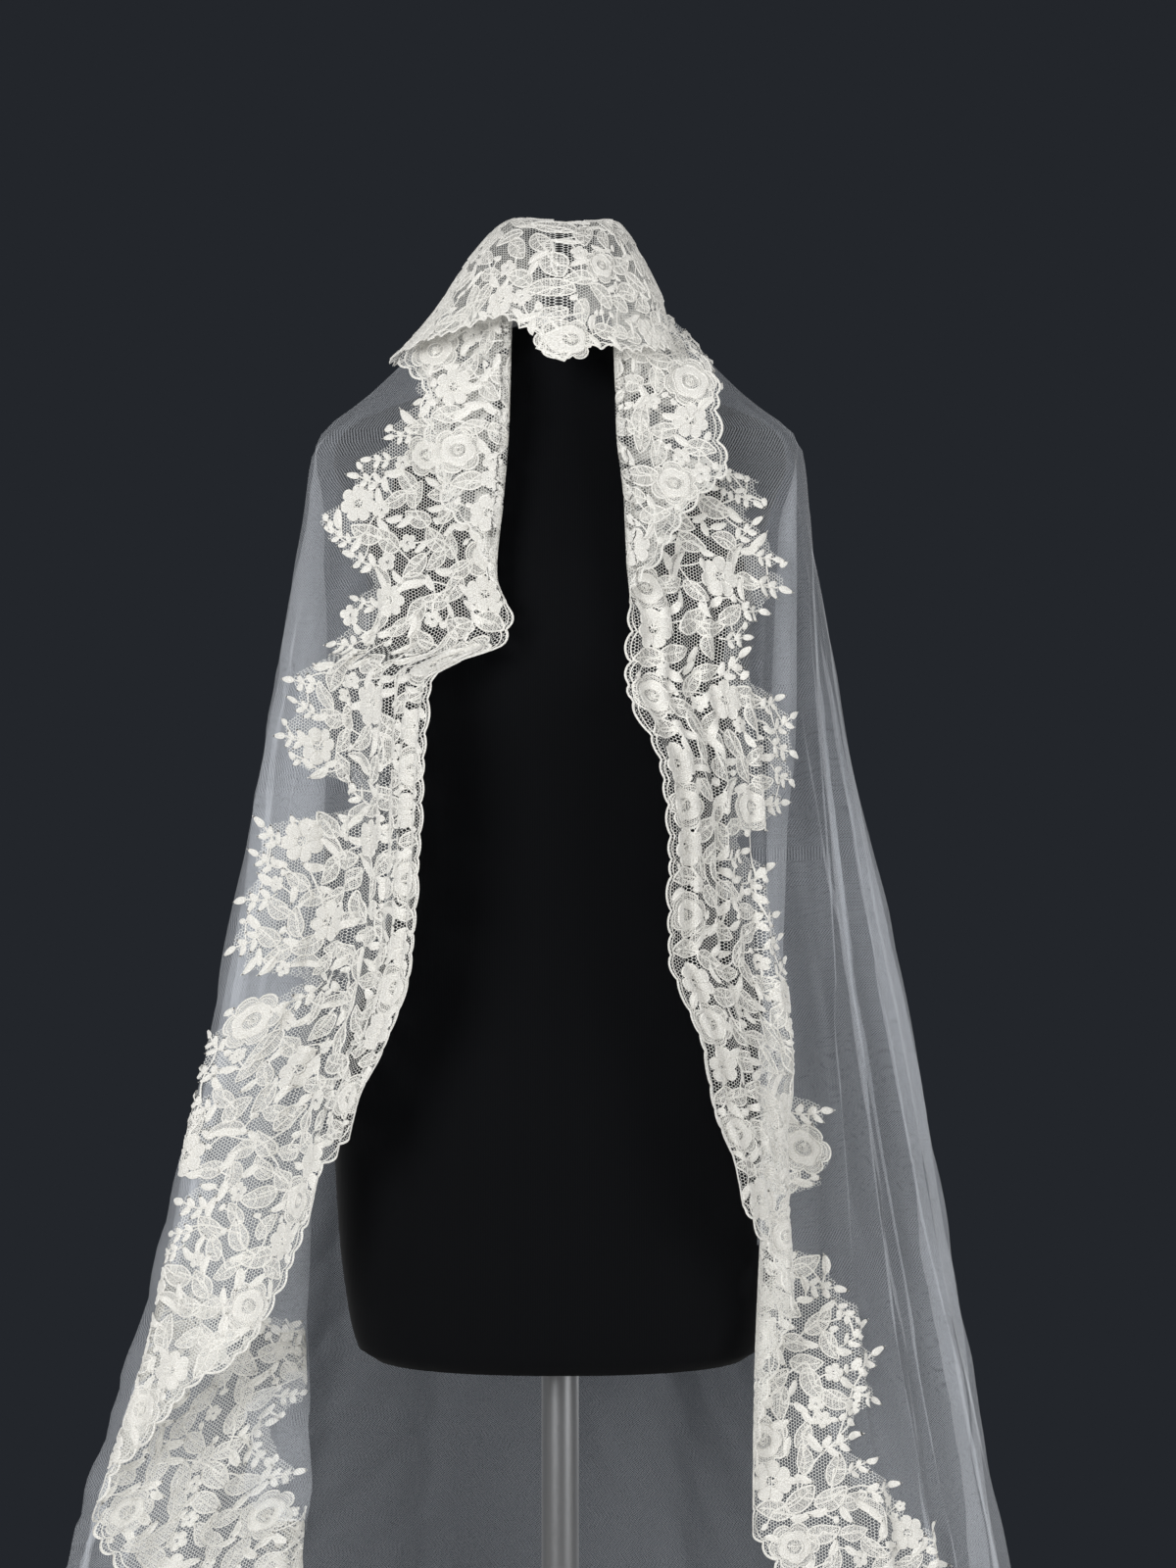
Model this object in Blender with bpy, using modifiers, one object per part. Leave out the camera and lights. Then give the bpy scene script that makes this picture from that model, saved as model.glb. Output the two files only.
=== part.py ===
"""Bridal veil with a floral lace edge, draped over a limbless dress form on a stand.

Metres, +Z up, the front towards -Y. The origin is the middle of the stand's underside.
The cloth is one folded sheet in two halves that meet at the centre back. A half is a
stack of level sections: each section is a smooth curve through named lines that run
down the cloth, such as its opening fold, its outer fold and its silhouette.
"""

import math

import bpy
import numpy as np
from mathutils import Vector
from mathutils.geometry import delaunay_2d_cdt

COLLECTION = "bridal_veil"

# Driving sizes of the cloth
TULLE_WALL = 0.0010
LACE_WALL = 0.0012
SEAM = 0.0003  # clear gap between two pieces that touch
TULLE_INSET = 0.0034  # the tulle lies under the lace, clear of it between two levels
LEFT_BAND = 0.205  # lace from its scalloped edge to the tips of its inner sprays
RIGHT_BAND = 0.185
LACE_LAP = 0.055  # how far the tulle runs on under the lace
HEM_Z = 0.012
FLAP_END_Z = 1.297  # the turned back lapels end here
FLAP_FADE = 0.045  # height over which the turn at the opening opens out below them
LOWER_SPACING = 0.062  # between levels of points, below and above the bust
UPPER_SPACING = 0.030
BUST_Z = 1.150
SHOULDER_LEVELS = (1.382, 1.394, 1.405, 1.418, 1.432, 1.445, 1.466, 1.488)
LAPEL_PEAK_Z = {"left": 1.503, "right": 1.490}  # of the turn, under the crown
TULLE_TOP_Z = 1.504
MOST_SLOPE = 0.4
TURN_GAP = 0.0055  # half the gap between the two layers of a fold
TURN_REACH = 0.014  # length over which a fold rounds off

# Scalloped outer edge and sprays along the inner edge
SCALLOP_PITCH = 0.020
SCALLOP_DEPTH = 0.005
SPRAY_PITCH = 0.115
SPRAY_DEPTH = 0.024

# Pleats of the back
BACK_PLEATS = 6  # a half
PLEAT_DEPTH = (("z", "depth"), (1.53, 0.0), (1.36, 0.006), (0.9, 0.020), (0.012, 0.040))

# Upper hood that both halves share, level by level
HOOD = (
    ("z", "left", "right", "front", "back"),
    (1.560, 0.050, 0.050, 0.040, 0.040),
    (1.530, 0.072, 0.062, 0.056, 0.060),
    (1.488, 0.099, 0.096, 0.068, 0.080),
    (1.445, 0.143, 0.143, 0.078, 0.098),
)
HOOD_LEVELS = (1.530, 1.488, 1.445)

# The outer layer of the hood, from its lowest level to its flat top
CROWN = (
    ("z", "left", "right", "front", "back"),
    (1.4600, 0.1340, 0.1340, 0.0990, 0.1020),
    (1.4880, 0.1085, 0.1100, 0.0930, 0.0900),
    (1.5130, 0.0930, 0.0880, 0.0870, 0.0800),
    (1.5355, 0.0790, 0.0700, 0.0780, 0.0690),
    (1.5500, 0.0670, 0.0590, 0.0670, 0.0590),
    (1.5605, 0.0555, 0.0515, 0.0540, 0.0480),
    (1.5670, 0.0460, 0.0455, 0.0420, 0.0380),
    (1.5690, 0.0360, 0.0380, 0.0300, 0.0280),
    (1.5680, 0.0000, 0.0000, 0.0000, 0.0000),
)
CROWN_SQUARENESS = 2.8

# Lower edge of the crown: angle from the front, positive to the right, and height
CROWN_EDGE = (
    ("angle", "z"),
    (-180, 1.482),
    (-125, 1.480),
    (-96, 1.479),
    (-82, 1.474),
    (-62, 1.479),
    (-45, 1.487),
    (-28, 1.498),
    (-14, 1.489),
    (0, 1.470),
    (14, 1.476),
    (26, 1.482),
    (60, 1.484),
    (84, 1.490),
    (100, 1.494),
    (130, 1.484),
    (180, 1.482),
)

# Lines that run down the left half, from the shoulder to the floor
LEFT_HOOD_ANGLES = {"edge": 21, "bend": 48, "fold_out": 72, "fold_in": 82, "side": 92}
LEFT = {
    "edge": (
        ("z", "x", "y"),
        (1.405, -0.038, -0.082),
        (1.356, -0.040, -0.104),
        (1.302, -0.044, -0.132),
        (1.266, -0.037, -0.143),
        (1.249, -0.044, -0.146),
        (1.238, -0.068, -0.151),
        (1.226, -0.089, -0.162),
        (1.200, -0.093, -0.176),
        (1.090, -0.099, -0.178),
        (1.020, -0.105, -0.175),
        (0.964, -0.124, -0.170),
        (0.927, -0.142, -0.166),
        (0.800, -0.165, -0.165),
        (0.557, -0.190, -0.165),
        (0.000, -0.210, -0.175),
    ),
    "bend": (
        ("z", "x", "y"),
        (1.405, -0.124, -0.050),
        (1.356, -0.130, -0.062),
        (1.302, -0.126, -0.090),
        (1.266, -0.126, -0.102),
        (1.226, -0.137, -0.092),
        (1.179, -0.148, -0.085),
        (1.090, -0.150, -0.080),
        (1.000, -0.160, -0.080),
        (0.927, -0.178, -0.088),
        (0.800, -0.205, -0.105),
        (0.668, -0.245, -0.125),
        (0.557, -0.270, -0.135),
        (0.000, -0.320, -0.165),
    ),
    "fold_out": (
        ("z", "x", "y"),
        (1.405, -0.180, -0.030),
        (1.393, -0.187, -0.032),
        (1.356, -0.192, -0.038),
        (1.276, -0.204, -0.044),
        (1.198, -0.216, -0.048),
        (1.084, -0.239, -0.050),
        (1.007, -0.254, -0.054),
        (0.890, -0.272, -0.064),
        (0.742, -0.301, -0.078),
        (0.646, -0.328, -0.088),
        (0.597, -0.343, -0.092),
        (0.335, -0.400, -0.105),
        (0.000, -0.465, -0.125),
    ),
    "fold_in": (
        ("z", "x", "y"),
        (1.405, -0.186, -0.006),
        (1.385, -0.184, -0.006),
        (1.356, -0.179, -0.008),
        (1.107, -0.178, -0.012),
        (0.890, -0.187, -0.018),
        (0.557, -0.190, -0.030),
        (0.000, -0.205, -0.045),
    ),
    "side": (
        ("z", "x", "y"),
        (1.415, -0.178, 0.012),
        (1.403, -0.186, 0.014),
        (1.362, -0.193, 0.018),
        (1.323, -0.200, 0.021),
        (1.277, -0.209, 0.024),
        (1.231, -0.217, 0.028),
        (1.179, -0.226, 0.031),
        (1.075, -0.240, 0.036),
        (0.994, -0.257, 0.041),
        (0.927, -0.271, 0.045),
        (0.861, -0.290, 0.050),
        (0.779, -0.312, 0.055),
        (0.683, -0.342, 0.060),
        (0.557, -0.372, 0.070),
        (0.000, -0.520, 0.100),
    ),
}

# Lines that run down the right half
RIGHT_HOOD_ANGLES = {
    "edge": 23,
    "bend": 46,
    "fold_out": 66,
    "fold_in": 74,
    "ridge": 81,
    "valley": 87,
    "last": 93,
    "side": 100,
}
RIGHT = {
    "edge": (
        ("z", "x", "y"),
        (1.405, 0.042, -0.082),
        (1.356, 0.047, -0.104),
        (1.302, 0.049, -0.130),
        (1.268, 0.054, -0.143),
        (1.220, 0.051, -0.152),
        (1.190, 0.064, -0.166),
        (1.168, 0.073, -0.173),
        (1.112, 0.080, -0.177),
        (1.030, 0.080, -0.176),
        (1.001, 0.090, -0.173),
        (0.964, 0.104, -0.170),
        (0.920, 0.112, -0.168),
        (0.879, 0.127, -0.166),
        (0.800, 0.136, -0.164),
        (0.557, 0.142, -0.162),
        (0.000, 0.160, -0.170),
    ),
    "bend": (
        ("z", "x", "y"),
        (1.405, 0.122, -0.050),
        (1.356, 0.130, -0.062),
        (1.302, 0.128, -0.088),
        (1.268, 0.128, -0.100),
        (1.220, 0.136, -0.098),
        (1.168, 0.143, -0.098),
        (1.090, 0.145, -0.100),
        (1.000, 0.146, -0.106),
        (0.927, 0.149, -0.116),
        (0.850, 0.152, -0.126),
        (0.557, 0.156, -0.134),
        (0.000, 0.172, -0.145),
    ),
    "fold_out": (
        ("z", "x", "y"),
        (1.405, 0.173, -0.028),
        (1.380, 0.177, -0.036),
        (1.340, 0.176, -0.048),
        (1.180, 0.174, -0.066),
        (1.120, 0.168, -0.074),
        (1.000, 0.167, -0.084),
        (0.890, 0.167, -0.098),
        (0.787, 0.168, -0.106),
        (0.557, 0.170, -0.112),
        (0.000, 0.186, -0.122),
    ),
    "fold_in": (
        ("z", "x", "y"),
        (1.405, 0.181, -0.012),
        (1.380, 0.177, -0.016),
        (1.340, 0.166, -0.024),
        (1.180, 0.158, -0.040),
        (1.000, 0.151, -0.058),
        (0.890, 0.148, -0.072),
        (0.697, 0.140, -0.086),
        (0.557, 0.141, -0.090),
        (0.000, 0.155, -0.098),
    ),
    "ridge": (
        ("z", "x", "y"),
        (1.405, 0.183, 0.000),
        (1.356, 0.187, -0.010),
        (1.260, 0.189, -0.026),
        (1.120, 0.197, -0.036),
        (1.024, 0.202, -0.042),
        (0.930, 0.208, -0.048),
        (0.758, 0.219, -0.060),
        (0.557, 0.246, -0.074),
        (0.000, 0.310, -0.100),
    ),
    "valley": (
        ("z", "x", "y"),
        (1.405, 0.184, 0.010),
        (1.356, 0.190, 0.006),
        (1.230, 0.197, 0.000),
        (1.024, 0.216, -0.004),
        (0.856, 0.243, -0.008),
        (0.557, 0.297, -0.020),
        (0.000, 0.380, -0.040),
    ),
    "last": (
        ("z", "x", "y"),
        (1.405, 0.185, 0.020),
        (1.356, 0.191, 0.018),
        (1.200, 0.207, 0.008),
        (1.024, 0.234, 0.000),
        (0.844, 0.268, -0.006),
        (0.557, 0.328, -0.014),
        (0.000, 0.428, -0.022),
    ),
    "side": (
        ("z", "x", "y"),
        (1.418, 0.167, 0.036),
        (1.407, 0.178, 0.036),
        (1.390, 0.185, 0.037),
        (1.327, 0.195, 0.038),
        (1.288, 0.203, 0.040),
        (1.238, 0.213, 0.042),
        (1.179, 0.223, 0.044),
        (1.112, 0.238, 0.047),
        (1.038, 0.254, 0.050),
        (0.957, 0.271, 0.054),
        (0.868, 0.287, 0.058),
        (0.757, 0.306, 0.064),
        (0.661, 0.324, 0.070),
        (0.557, 0.340, 0.076),
        (0.000, 0.436, 0.100),
    ),
}
BACK_CENTRE = (
    ("z", "y"),
    (1.405, 0.110),
    (1.356, 0.122),
    (1.250, 0.138),
    (1.080, 0.168),
    (0.890, 0.212),
    (0.557, 0.285),
    (0.000, 0.390),
)

# The lapels: the hidden limit of the turned back layer, and its free edge
LEFT_FLAP = (
    ("z", "x", "y"),
    (1.500, -0.090, -0.046),
    (1.488, -0.101, -0.042),
    (1.470, -0.119, -0.044),
    (1.445, -0.130, -0.060),
    (1.405, -0.130, -0.074),
    (1.356, -0.126, -0.100),
    (1.290, -0.120, -0.130),
)
RIGHT_FLAP = (
    ("z", "x", "y"),
    (1.500, 0.090, -0.046),
    (1.488, 0.101, -0.042),
    (1.470, 0.118, -0.044),
    (1.445, 0.131, -0.060),
    (1.405, 0.131, -0.074),
    (1.356, 0.126, -0.098),
    (1.290, 0.120, -0.128),
)
LEFT_LAPEL_EDGE = (
    ("z", "x"),
    (1.482, -0.094),
    (1.468, -0.119),
    (1.446, -0.106),
    (1.405, -0.102),
    (1.390, -0.097),
    (1.370, -0.080),
    (1.349, -0.079),
    (1.336, -0.061),
    (1.320, -0.050),
    (1.297, -0.045),
)
RIGHT_LAPEL_EDGE = (
    ("z", "x"),
    (1.482, 0.094),
    (1.455, 0.113),
    (1.438, 0.122),
    (1.420, 0.116),
    (1.400, 0.121),
    (1.380, 0.125),
    (1.366, 0.104),
    (1.345, 0.086),
    (1.330, 0.080),
    (1.297, 0.053),
)
# Free edge below, where it leaves the front line and crosses the folds
LEFT_EDGE_RUN = (
    ("layer", "z", "x"),
    ("front", 0.879, -0.168),
    ("front", 0.824, -0.186),
    ("front", 0.787, -0.201),
    ("front", 0.745, -0.227),
    ("front", 0.719, -0.266),
    ("front", 0.682, -0.296),
    ("front", 0.655, -0.322),
    ("turned", 0.600, -0.334),
    ("turned", 0.575, -0.310),
    ("turned", 0.483, -0.280),
    ("turned", 0.372, -0.260),
    ("turned", 0.012, -0.245),
)
RIGHT_EDGE_RUN = (
    ("layer", "z", "x"),
    ("front", 0.853, 0.133),
    ("front", 0.831, 0.146),
    ("front", 0.809, 0.156),
    ("front", 0.790, 0.163),
    ("turned", 0.752, 0.161),
    ("turned", 0.712, 0.148),
    ("under", 0.600, 0.146),
    ("under", 0.586, 0.160),
    ("under", 0.557, 0.166),
    ("under", 0.483, 0.180),
    ("under", 0.372, 0.191),
    ("under", 0.012, 0.206),
)

# Dress form and stand
TORSO = (
    ("z", "half_width", "front", "back"),
    (0.720, 0.140, 0.092, 0.104),
    (0.728, 0.152, 0.100, 0.112),
    (0.760, 0.160, 0.106, 0.120),
    (0.820, 0.167, 0.110, 0.126),
    (0.890, 0.170, 0.112, 0.124),
    (0.960, 0.160, 0.108, 0.111),
    (1.020, 0.138, 0.102, 0.096),
    (1.083, 0.122, 0.097, 0.086),
    (1.140, 0.126, 0.104, 0.087),
    (1.200, 0.137, 0.117, 0.092),
    (1.250, 0.143, 0.124, 0.096),
    (1.300, 0.145, 0.115, 0.100),
    (1.340, 0.154, 0.093, 0.102),
    (1.370, 0.164, 0.074, 0.094),
    (1.390, 0.171, 0.062, 0.082),
    (1.408, 0.168, 0.054, 0.068),
    (1.423, 0.153, 0.048, 0.057),
    (1.436, 0.122, 0.046, 0.052),
    (1.450, 0.084, 0.046, 0.050),
    (1.463, 0.055, 0.046, 0.048),
    (1.4897, 0.047, 0.047, 0.047),
)
TORSO_SIDES = 28
TORSO_SQUARENESS = 2.3
NECK_RADIUS = 0.047
NECK_PLATE = (1.490, 1.500)  # bottom and top
KNOB_TOP_Z = 1.568 - LACE_WALL / 2 - SEAM
KNOB_RADIUS = 0.030
STEM_RADIUS = 0.011
POLE_RADIUS = 0.014
BASE_RADIUS = 0.190
BASE_HEIGHT = 0.022


def rows_of(table):
    """The rows of a table under its header, as an array of numbers."""
    return np.array(table[1:], float)


def smooth_steps(at, known, values):
    """Monotone cubic through the rows, so that a line never swings past its points."""
    order = np.argsort(known)
    known, values = known[order], values[order]
    gap = np.diff(known)
    slope = np.diff(values) / gap
    tangent = np.zeros(len(known))
    tangent[0], tangent[-1] = slope[0], slope[-1]
    same = slope[:-1] * slope[1:] > 0
    both = np.where(same, slope[:-1] + slope[1:], 1.0)
    tangent[1:-1] = np.where(same, 2.0 * slope[:-1] * slope[1:] / both, 0.0)
    at = np.clip(at, known[0], known[-1])
    cell = np.clip(np.searchsorted(known, at, side="right") - 1, 0, len(gap) - 1)
    f = (at - known[cell]) / gap[cell]
    start, end = values[cell], values[cell + 1]
    rise, fall = tangent[cell] * gap[cell], tangent[cell + 1] * gap[cell]
    return (
        start * (1 + 2 * f) * (1 - f) ** 2
        + rise * f * (1 - f) ** 2
        + end * f * f * (3 - 2 * f)
        + fall * f * f * (f - 1)
    )


def ring_point(table, z, angle, side, squareness=2.0):
    """A point of a hood ring: the angle in degrees runs from the front round a side."""
    rows = rows_of(table)
    width = smooth_steps(z, rows[:, 0], rows[:, 1 if side < 0 else 2])
    front = smooth_steps(z, rows[:, 0], rows[:, 3])
    back = smooth_steps(z, rows[:, 0], rows[:, 4])
    turn = math.radians(angle)
    power = 2.0 / squareness
    x = side * width * abs(math.sin(turn)) ** power
    y = abs(math.cos(turn)) ** power
    return np.array((x, -front * y if math.cos(turn) > 0 else back * y))


class Half:
    """One half of the cloth, as a grid of points over its levels and along its sections."""

    LEVEL = 0.006

    def __init__(self, side, lines, angles, flap):
        self.side = side
        self.names = list(lines)
        self.lines = {
            name: self.with_hood(rows_of(table), angles[name])
            for name, table in lines.items()
        }
        self.flap = rows_of(flap)
        self.z = np.arange(HEM_Z - 2 * self.LEVEL, TULLE_TOP_Z + 2 * self.LEVEL, self.LEVEL)
        sections = [self.keys(z) for z in self.z]
        self.p = self.places(len(sections[0]) - 1.0)
        self.xy = np.array([section_points(keys, self.p) for keys in sections])
        step = np.linalg.norm(np.diff(self.xy, axis=1), axis=2)
        run = np.concatenate([np.zeros((len(self.z), 1)), np.cumsum(step, axis=1)], axis=1)
        start = [np.interp(edge_place(z), self.p, row) for z, row in zip(self.z, run)]
        self.q = run - np.array(start)[:, None]

    def with_hood(self, rows, angle):
        top = [(z, *ring_point(HOOD, z, angle, self.side)) for z in HOOD_LEVELS]
        return np.array(top + rows.tolist())

    def on_line(self, name, z):
        rows = self.lines[name]
        return np.array([smooth_steps(z, rows[:, 0], rows[:, k]) for k in (1, 2)])

    def on_flap(self, z):
        return np.array([smooth_steps(z, self.flap[:, 0], self.flap[:, k]) for k in (1, 2)])

    def keys(self, z):
        """The points that one section follows, from its free end to the centre back."""
        edge, bend = self.on_line("edge", z), self.on_line("bend", z)
        out = (edge - bend) / np.linalg.norm(edge - bend)
        open_keys = [edge + out * reach for reach in (0.036, 0.024, 0.012, 0.0, -0.012)]
        turned_keys = self.lapel_keys(z, edge, bend)
        part = opened(z)
        keys = [(1 - part) * a + part * b for a, b in zip(turned_keys, open_keys)]
        self.at = {}
        keys += [bend]
        self.at["bend"] = len(keys) - 1.0
        inner = [name for name in self.names if name not in ("edge", "bend", "side")]
        stops = [bend] + [self.on_line(name, z) for name in inner]
        side = self.on_line("side", z)
        stops.append(side)
        for index, name in enumerate(inner):
            before, here, after = stops[index], stops[index + 1], stops[index + 2]
            if name.startswith("fold"):
                self.at[name] = len(keys) + 1.5
                keys += turned(before, here, after, TURN_GAP)
            else:
                self.at[name] = float(len(keys))
                keys += [here]
        self.at["side"] = len(keys) + 0.5
        half_turn = np.array((0.0, 0.008))
        keys += [side - half_turn, side + half_turn]
        return np.array(keys + self.back_keys(z, side + half_turn))

    def lapel_keys(self, z, edge, bend):
        """The turned back layer, and its round turn at the opening."""
        lapel = self.on_flap(z)
        front = edge - np.array((0.0, 2 * TURN_GAP + 0.001))
        along = (lapel - front) / np.linalg.norm(lapel - front)
        back_along = (bend - edge) / np.linalg.norm(bend - edge)
        return [
            lapel,
            front + along * TURN_REACH,
            front,
            edge,
            edge + back_along * TURN_REACH,
        ]

    def back_keys(self, z, start):
        """Soft pleats on a quarter oval from the silhouette to the centre back."""
        rows, pleats = rows_of(BACK_CENTRE), rows_of(PLEAT_DEPTH)
        hood = [(level, ring_point(HOOD, level, 180, self.side)[1]) for level in HOOD_LEVELS]
        rows = np.array(hood + rows.tolist())
        middle = smooth_steps(z, rows[:, 0], rows[:, 1])
        depth = smooth_steps(z, pleats[:, 0], pleats[:, 1])
        count = 2 * BACK_PLEATS
        keys = []
        for step in range(1, count + 1):
            turn = math.pi / 2 * step / count
            reach = np.array((start[0] * math.cos(turn), (middle - start[1]) * math.sin(turn)))
            sign = 0.0 if step == count else (-1.0) ** step
            out = reach / max(np.linalg.norm(reach), 1e-6)
            keys.append(np.array((0.0, start[1])) + reach + out * sign * depth / 2)
        keys[-1][0] = 0.0
        return keys

    def places(self, last):
        """Columns of points down the cloth, close together round the folds."""
        found = [0.0, 1.0, 2.0, 2.5, 3.0, 4.0, 4.5, 5.0, 5.5]
        for name in ("fold_out", "fold_in"):
            found += [self.at[name] + shift for shift in (-1.5, -0.5, 0.0, 0.5, 1.5)]
        found += list(np.arange(self.at["fold_in"] + 2.5, self.at["side"], 1.0))
        found += list(np.arange(self.at["side"], last + 0.1, 0.5))
        return np.array(found)

    def point(self, q, z):
        """The point at a length q along the section from the edge line, at a height z."""
        level = np.clip((z - self.z[0]) / self.LEVEL, 0, len(self.z) - 1.001)
        low = int(level)
        part = level - low
        found = []
        for row in (low, low + 1):
            found.append([np.interp(q, self.q[row], self.xy[row, :, k]) for k in (0, 1)])
        x, y = (1 - part) * np.array(found[0]) + part * np.array(found[1])
        return np.array((x, y, z))

    def normal(self, q, z):
        """The level direction out of the cloth, longer where the cloth slopes."""
        along = self.point(q + 0.001, z) - self.point(q - 0.001, z)
        down = self.point(q, z - 0.002) - self.point(q, z + 0.002)
        across = np.cross(down, along) * -self.side
        across /= np.linalg.norm(across)
        level_share = across[0] ** 2 + across[1] ** 2
        return np.array((across[0], across[1], 0.0)) / max(level_share, MOST_SLOPE)

    def q_at(self, p, z):
        """The length along the section at a place p in its list of keys."""
        row = int(round((z - self.z[0]) / self.LEVEL))
        row = min(max(row, 0), len(self.z) - 1)
        return float(np.interp(p, self.p, self.q[row]))

    def q_of_x(self, z, x, first, last):
        """The length along the section where it crosses x, between two places in its keys."""
        row = min(max(int(round((z - self.z[0]) / self.LEVEL)), 0), len(self.z) - 1)
        p = np.linspace(first, last, 400)
        q = np.interp(p, self.p, self.q[row])
        xs = np.interp(q, self.q[row], self.xy[row, :, 0])
        return float(q[int(np.argmin(np.abs(xs - x)))])


def opened(z):
    """How far the turn at the opening has opened out: 0 at the lapels, 1 below them."""
    part = min(max((FLAP_END_Z - z) / FLAP_FADE, 0.0), 1.0)
    return part * part * (3 - 2 * part)


def edge_place(z):
    """Where the front line of the cloth lies in a section's keys."""
    return 2.5 + 0.5 * opened(z)


def section_points(keys, p):
    """A quadratic B-spline on the keys, which passes near key k at p = k."""
    padded = np.vstack([2 * keys[0] - keys[1], keys, 2 * keys[-1] - keys[-2]])
    nearest = np.floor(p + 0.5).astype(int)
    nearest = np.clip(nearest, 0, len(keys) - 1)
    f = (p + 0.5 - nearest)[:, None]
    before, here, after = padded[nearest], padded[nearest + 1], padded[nearest + 2]
    start, end = (before + here) / 2, (here + after) / 2
    return (1 - f) ** 2 * start + 2 * f * (1 - f) * here + f**2 * end


def turned(before, here, after, gap):
    """Four keys that take the cloth round a fold, less deep where its layers are short."""
    shortest = min(np.linalg.norm(before - here), np.linalg.norm(after - here))
    half = np.array((0.0, min(gap, 0.22 * shortest)))
    keys = []
    for mate, corner in ((before, here - half), (after, here + half)):
        span = mate - corner
        length = np.linalg.norm(span)
        keys.append((corner, corner + span * min(TURN_REACH, 0.3 * length) / length))
    return [keys[0][1], keys[0][0], keys[1][0], keys[1][1]]


def level_rows(top, bottom, spacing):
    """Levels from top to bottom, evenly spaced at about the spacing."""
    return np.linspace(top, bottom, max(2, int(round(abs(top - bottom) / spacing)) + 1))


def measured(points):
    """Lengths run along a line of points."""
    steps = np.linalg.norm(np.diff(points, axis=0), axis=1)
    return np.concatenate([[0.0], np.cumsum(steps)])


def resampled(points, spacing):
    """The line again, with points at an even spacing."""
    points = np.array(points, float)
    run = measured(points)
    at = np.linspace(0.0, run[-1], max(2, int(round(run[-1] / spacing)) + 1))
    return np.column_stack([np.interp(at, run, points[:, k]) for k in (0, 1)])


def waved(points, pitch, depth, per_wave, phase=0.0):
    """A line of points thrown out to its left in a row of round scallops."""
    even = resampled(points, pitch / per_wave)
    run = measured(even)
    ahead = np.gradient(even, axis=0)
    ahead /= np.linalg.norm(ahead, axis=1)[:, None]
    left = np.column_stack([-ahead[:, 1], ahead[:, 0]])
    lift = depth * np.abs(np.sin(math.pi * (run / pitch + phase))) ** 0.8
    lift[0] = lift[-1] = 0.0
    return even + left * lift[:, None]


def inside(outline, point):
    """Whether a flat point lies in the outline."""
    x, y = point
    x0, y0 = outline[:, 0], outline[:, 1]
    x1, y1 = np.roll(x0, -1), np.roll(y0, -1)
    crossing = (y0 > y) != (y1 > y)
    rise = np.where(crossing, y1 - y0, 1.0)
    at = x0 + (y - y0) * (x1 - x0) / rise
    return bool(np.count_nonzero(crossing & (at > x)) % 2)


def distance_to(outline, point):
    """The distance from a flat point to the outline."""
    start = outline
    span = np.roll(outline, -1, axis=0) - outline
    length = np.maximum((span**2).sum(axis=1), 1e-12)
    f = np.clip(((point - start) * span).sum(axis=1) / length, 0.0, 1.0)
    return float(np.linalg.norm(point - (start + span * f[:, None]), axis=1).min())


def flat_triangles(outline, columns, clear):
    """Triangles that fill a flat outline and keep to columns of points inside it."""
    outline = np.array(outline)
    points = [Vector(p) for p in outline]
    links = []
    for column in columns:
        last, last_in = None, False
        for p in column:
            if distance_to(outline, p) < clear:
                continue
            points.append(Vector(p))
            here_in = inside(outline, p)
            if last is not None and (here_in or last_in):
                links.append((last, len(points) - 1))
            last, last_in = len(points) - 1, here_in
    face = [list(range(len(outline)))]
    found = delaunay_2d_cdt(points, links, face, 1, 1e-7)
    return [tuple(p) for p in found[0]], [tuple(f) for f in found[2]]


def object_of(name, vertices, faces, material):
    """A mesh object with smooth faces in the part's collection."""
    mesh = bpy.data.meshes.new(name)
    mesh.from_pydata([tuple(v) for v in vertices], [], faces)
    mesh.validate()
    mesh.materials.append(material)
    mesh.shade_smooth()
    piece = bpy.data.objects.new(name, mesh)
    bpy.data.collections[COLLECTION].objects.link(piece)
    return piece


def walled(name, flat, triangles, place, facing, wall, inset, material):
    """A closed wall on both sides of a surface, and round its rim."""
    count = len(flat)
    centre = [place(*p) for p in flat]
    out = [facing(*p) for p in flat]
    outer = [c + n * (wall / 2 - inset) for c, n in zip(centre, out)]
    inner = [c - n * (wall / 2 + inset) for c, n in zip(centre, out)]
    turns = [np.cross(centre[b] - centre[a], centre[c] - centre[a]) for a, b, c in triangles]
    if sum(np.dot(turn, out[face[0]]) for turn, face in zip(turns, triangles)) < 0:
        triangles = [(c, b, a) for a, b, c in triangles]
    ways = {}
    for face in triangles:
        for start, end in zip(face, face[1:] + face[:1]):
            ways[(start, end)] = True
    faces = [tuple(f) for f in triangles]
    faces += [(c + count, b + count, a + count) for a, b, c in triangles]
    for start, end in ways:
        if (end, start) not in ways:
            faces.append((start, start + count, end + count))
            faces.append((start, end + count, end))
    return object_of(name, outer + inner, faces, material)


def cloth_piece(name, half, outline, wall, inset, material):
    """A stretch of one half of the cloth inside an outline of lengths and heights."""
    low, high = min(z for _, z in outline), max(z for _, z in outline)
    lower = np.arange(HEM_Z + LOWER_SPACING, BUST_Z, LOWER_SPACING)
    upper = np.arange(BUST_Z + 0.015, SHOULDER_LEVELS[0] - 0.01, UPPER_SPACING)
    levels = np.concatenate([lower, upper, SHOULDER_LEVELS])
    levels = levels[(levels > low - LOWER_SPACING) & (levels < high + UPPER_SPACING)]
    columns = []
    for p in half.p:
        step = 2 if p > half.at["side"] + 0.5 else 1
        columns.append([(half.q_at(p, z), z) for z in levels[::step]])
    flat, triangles = flat_triangles(outline, columns, 0.004)
    return walled(name, flat, triangles, half.point, half.normal, wall, inset, material)


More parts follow.
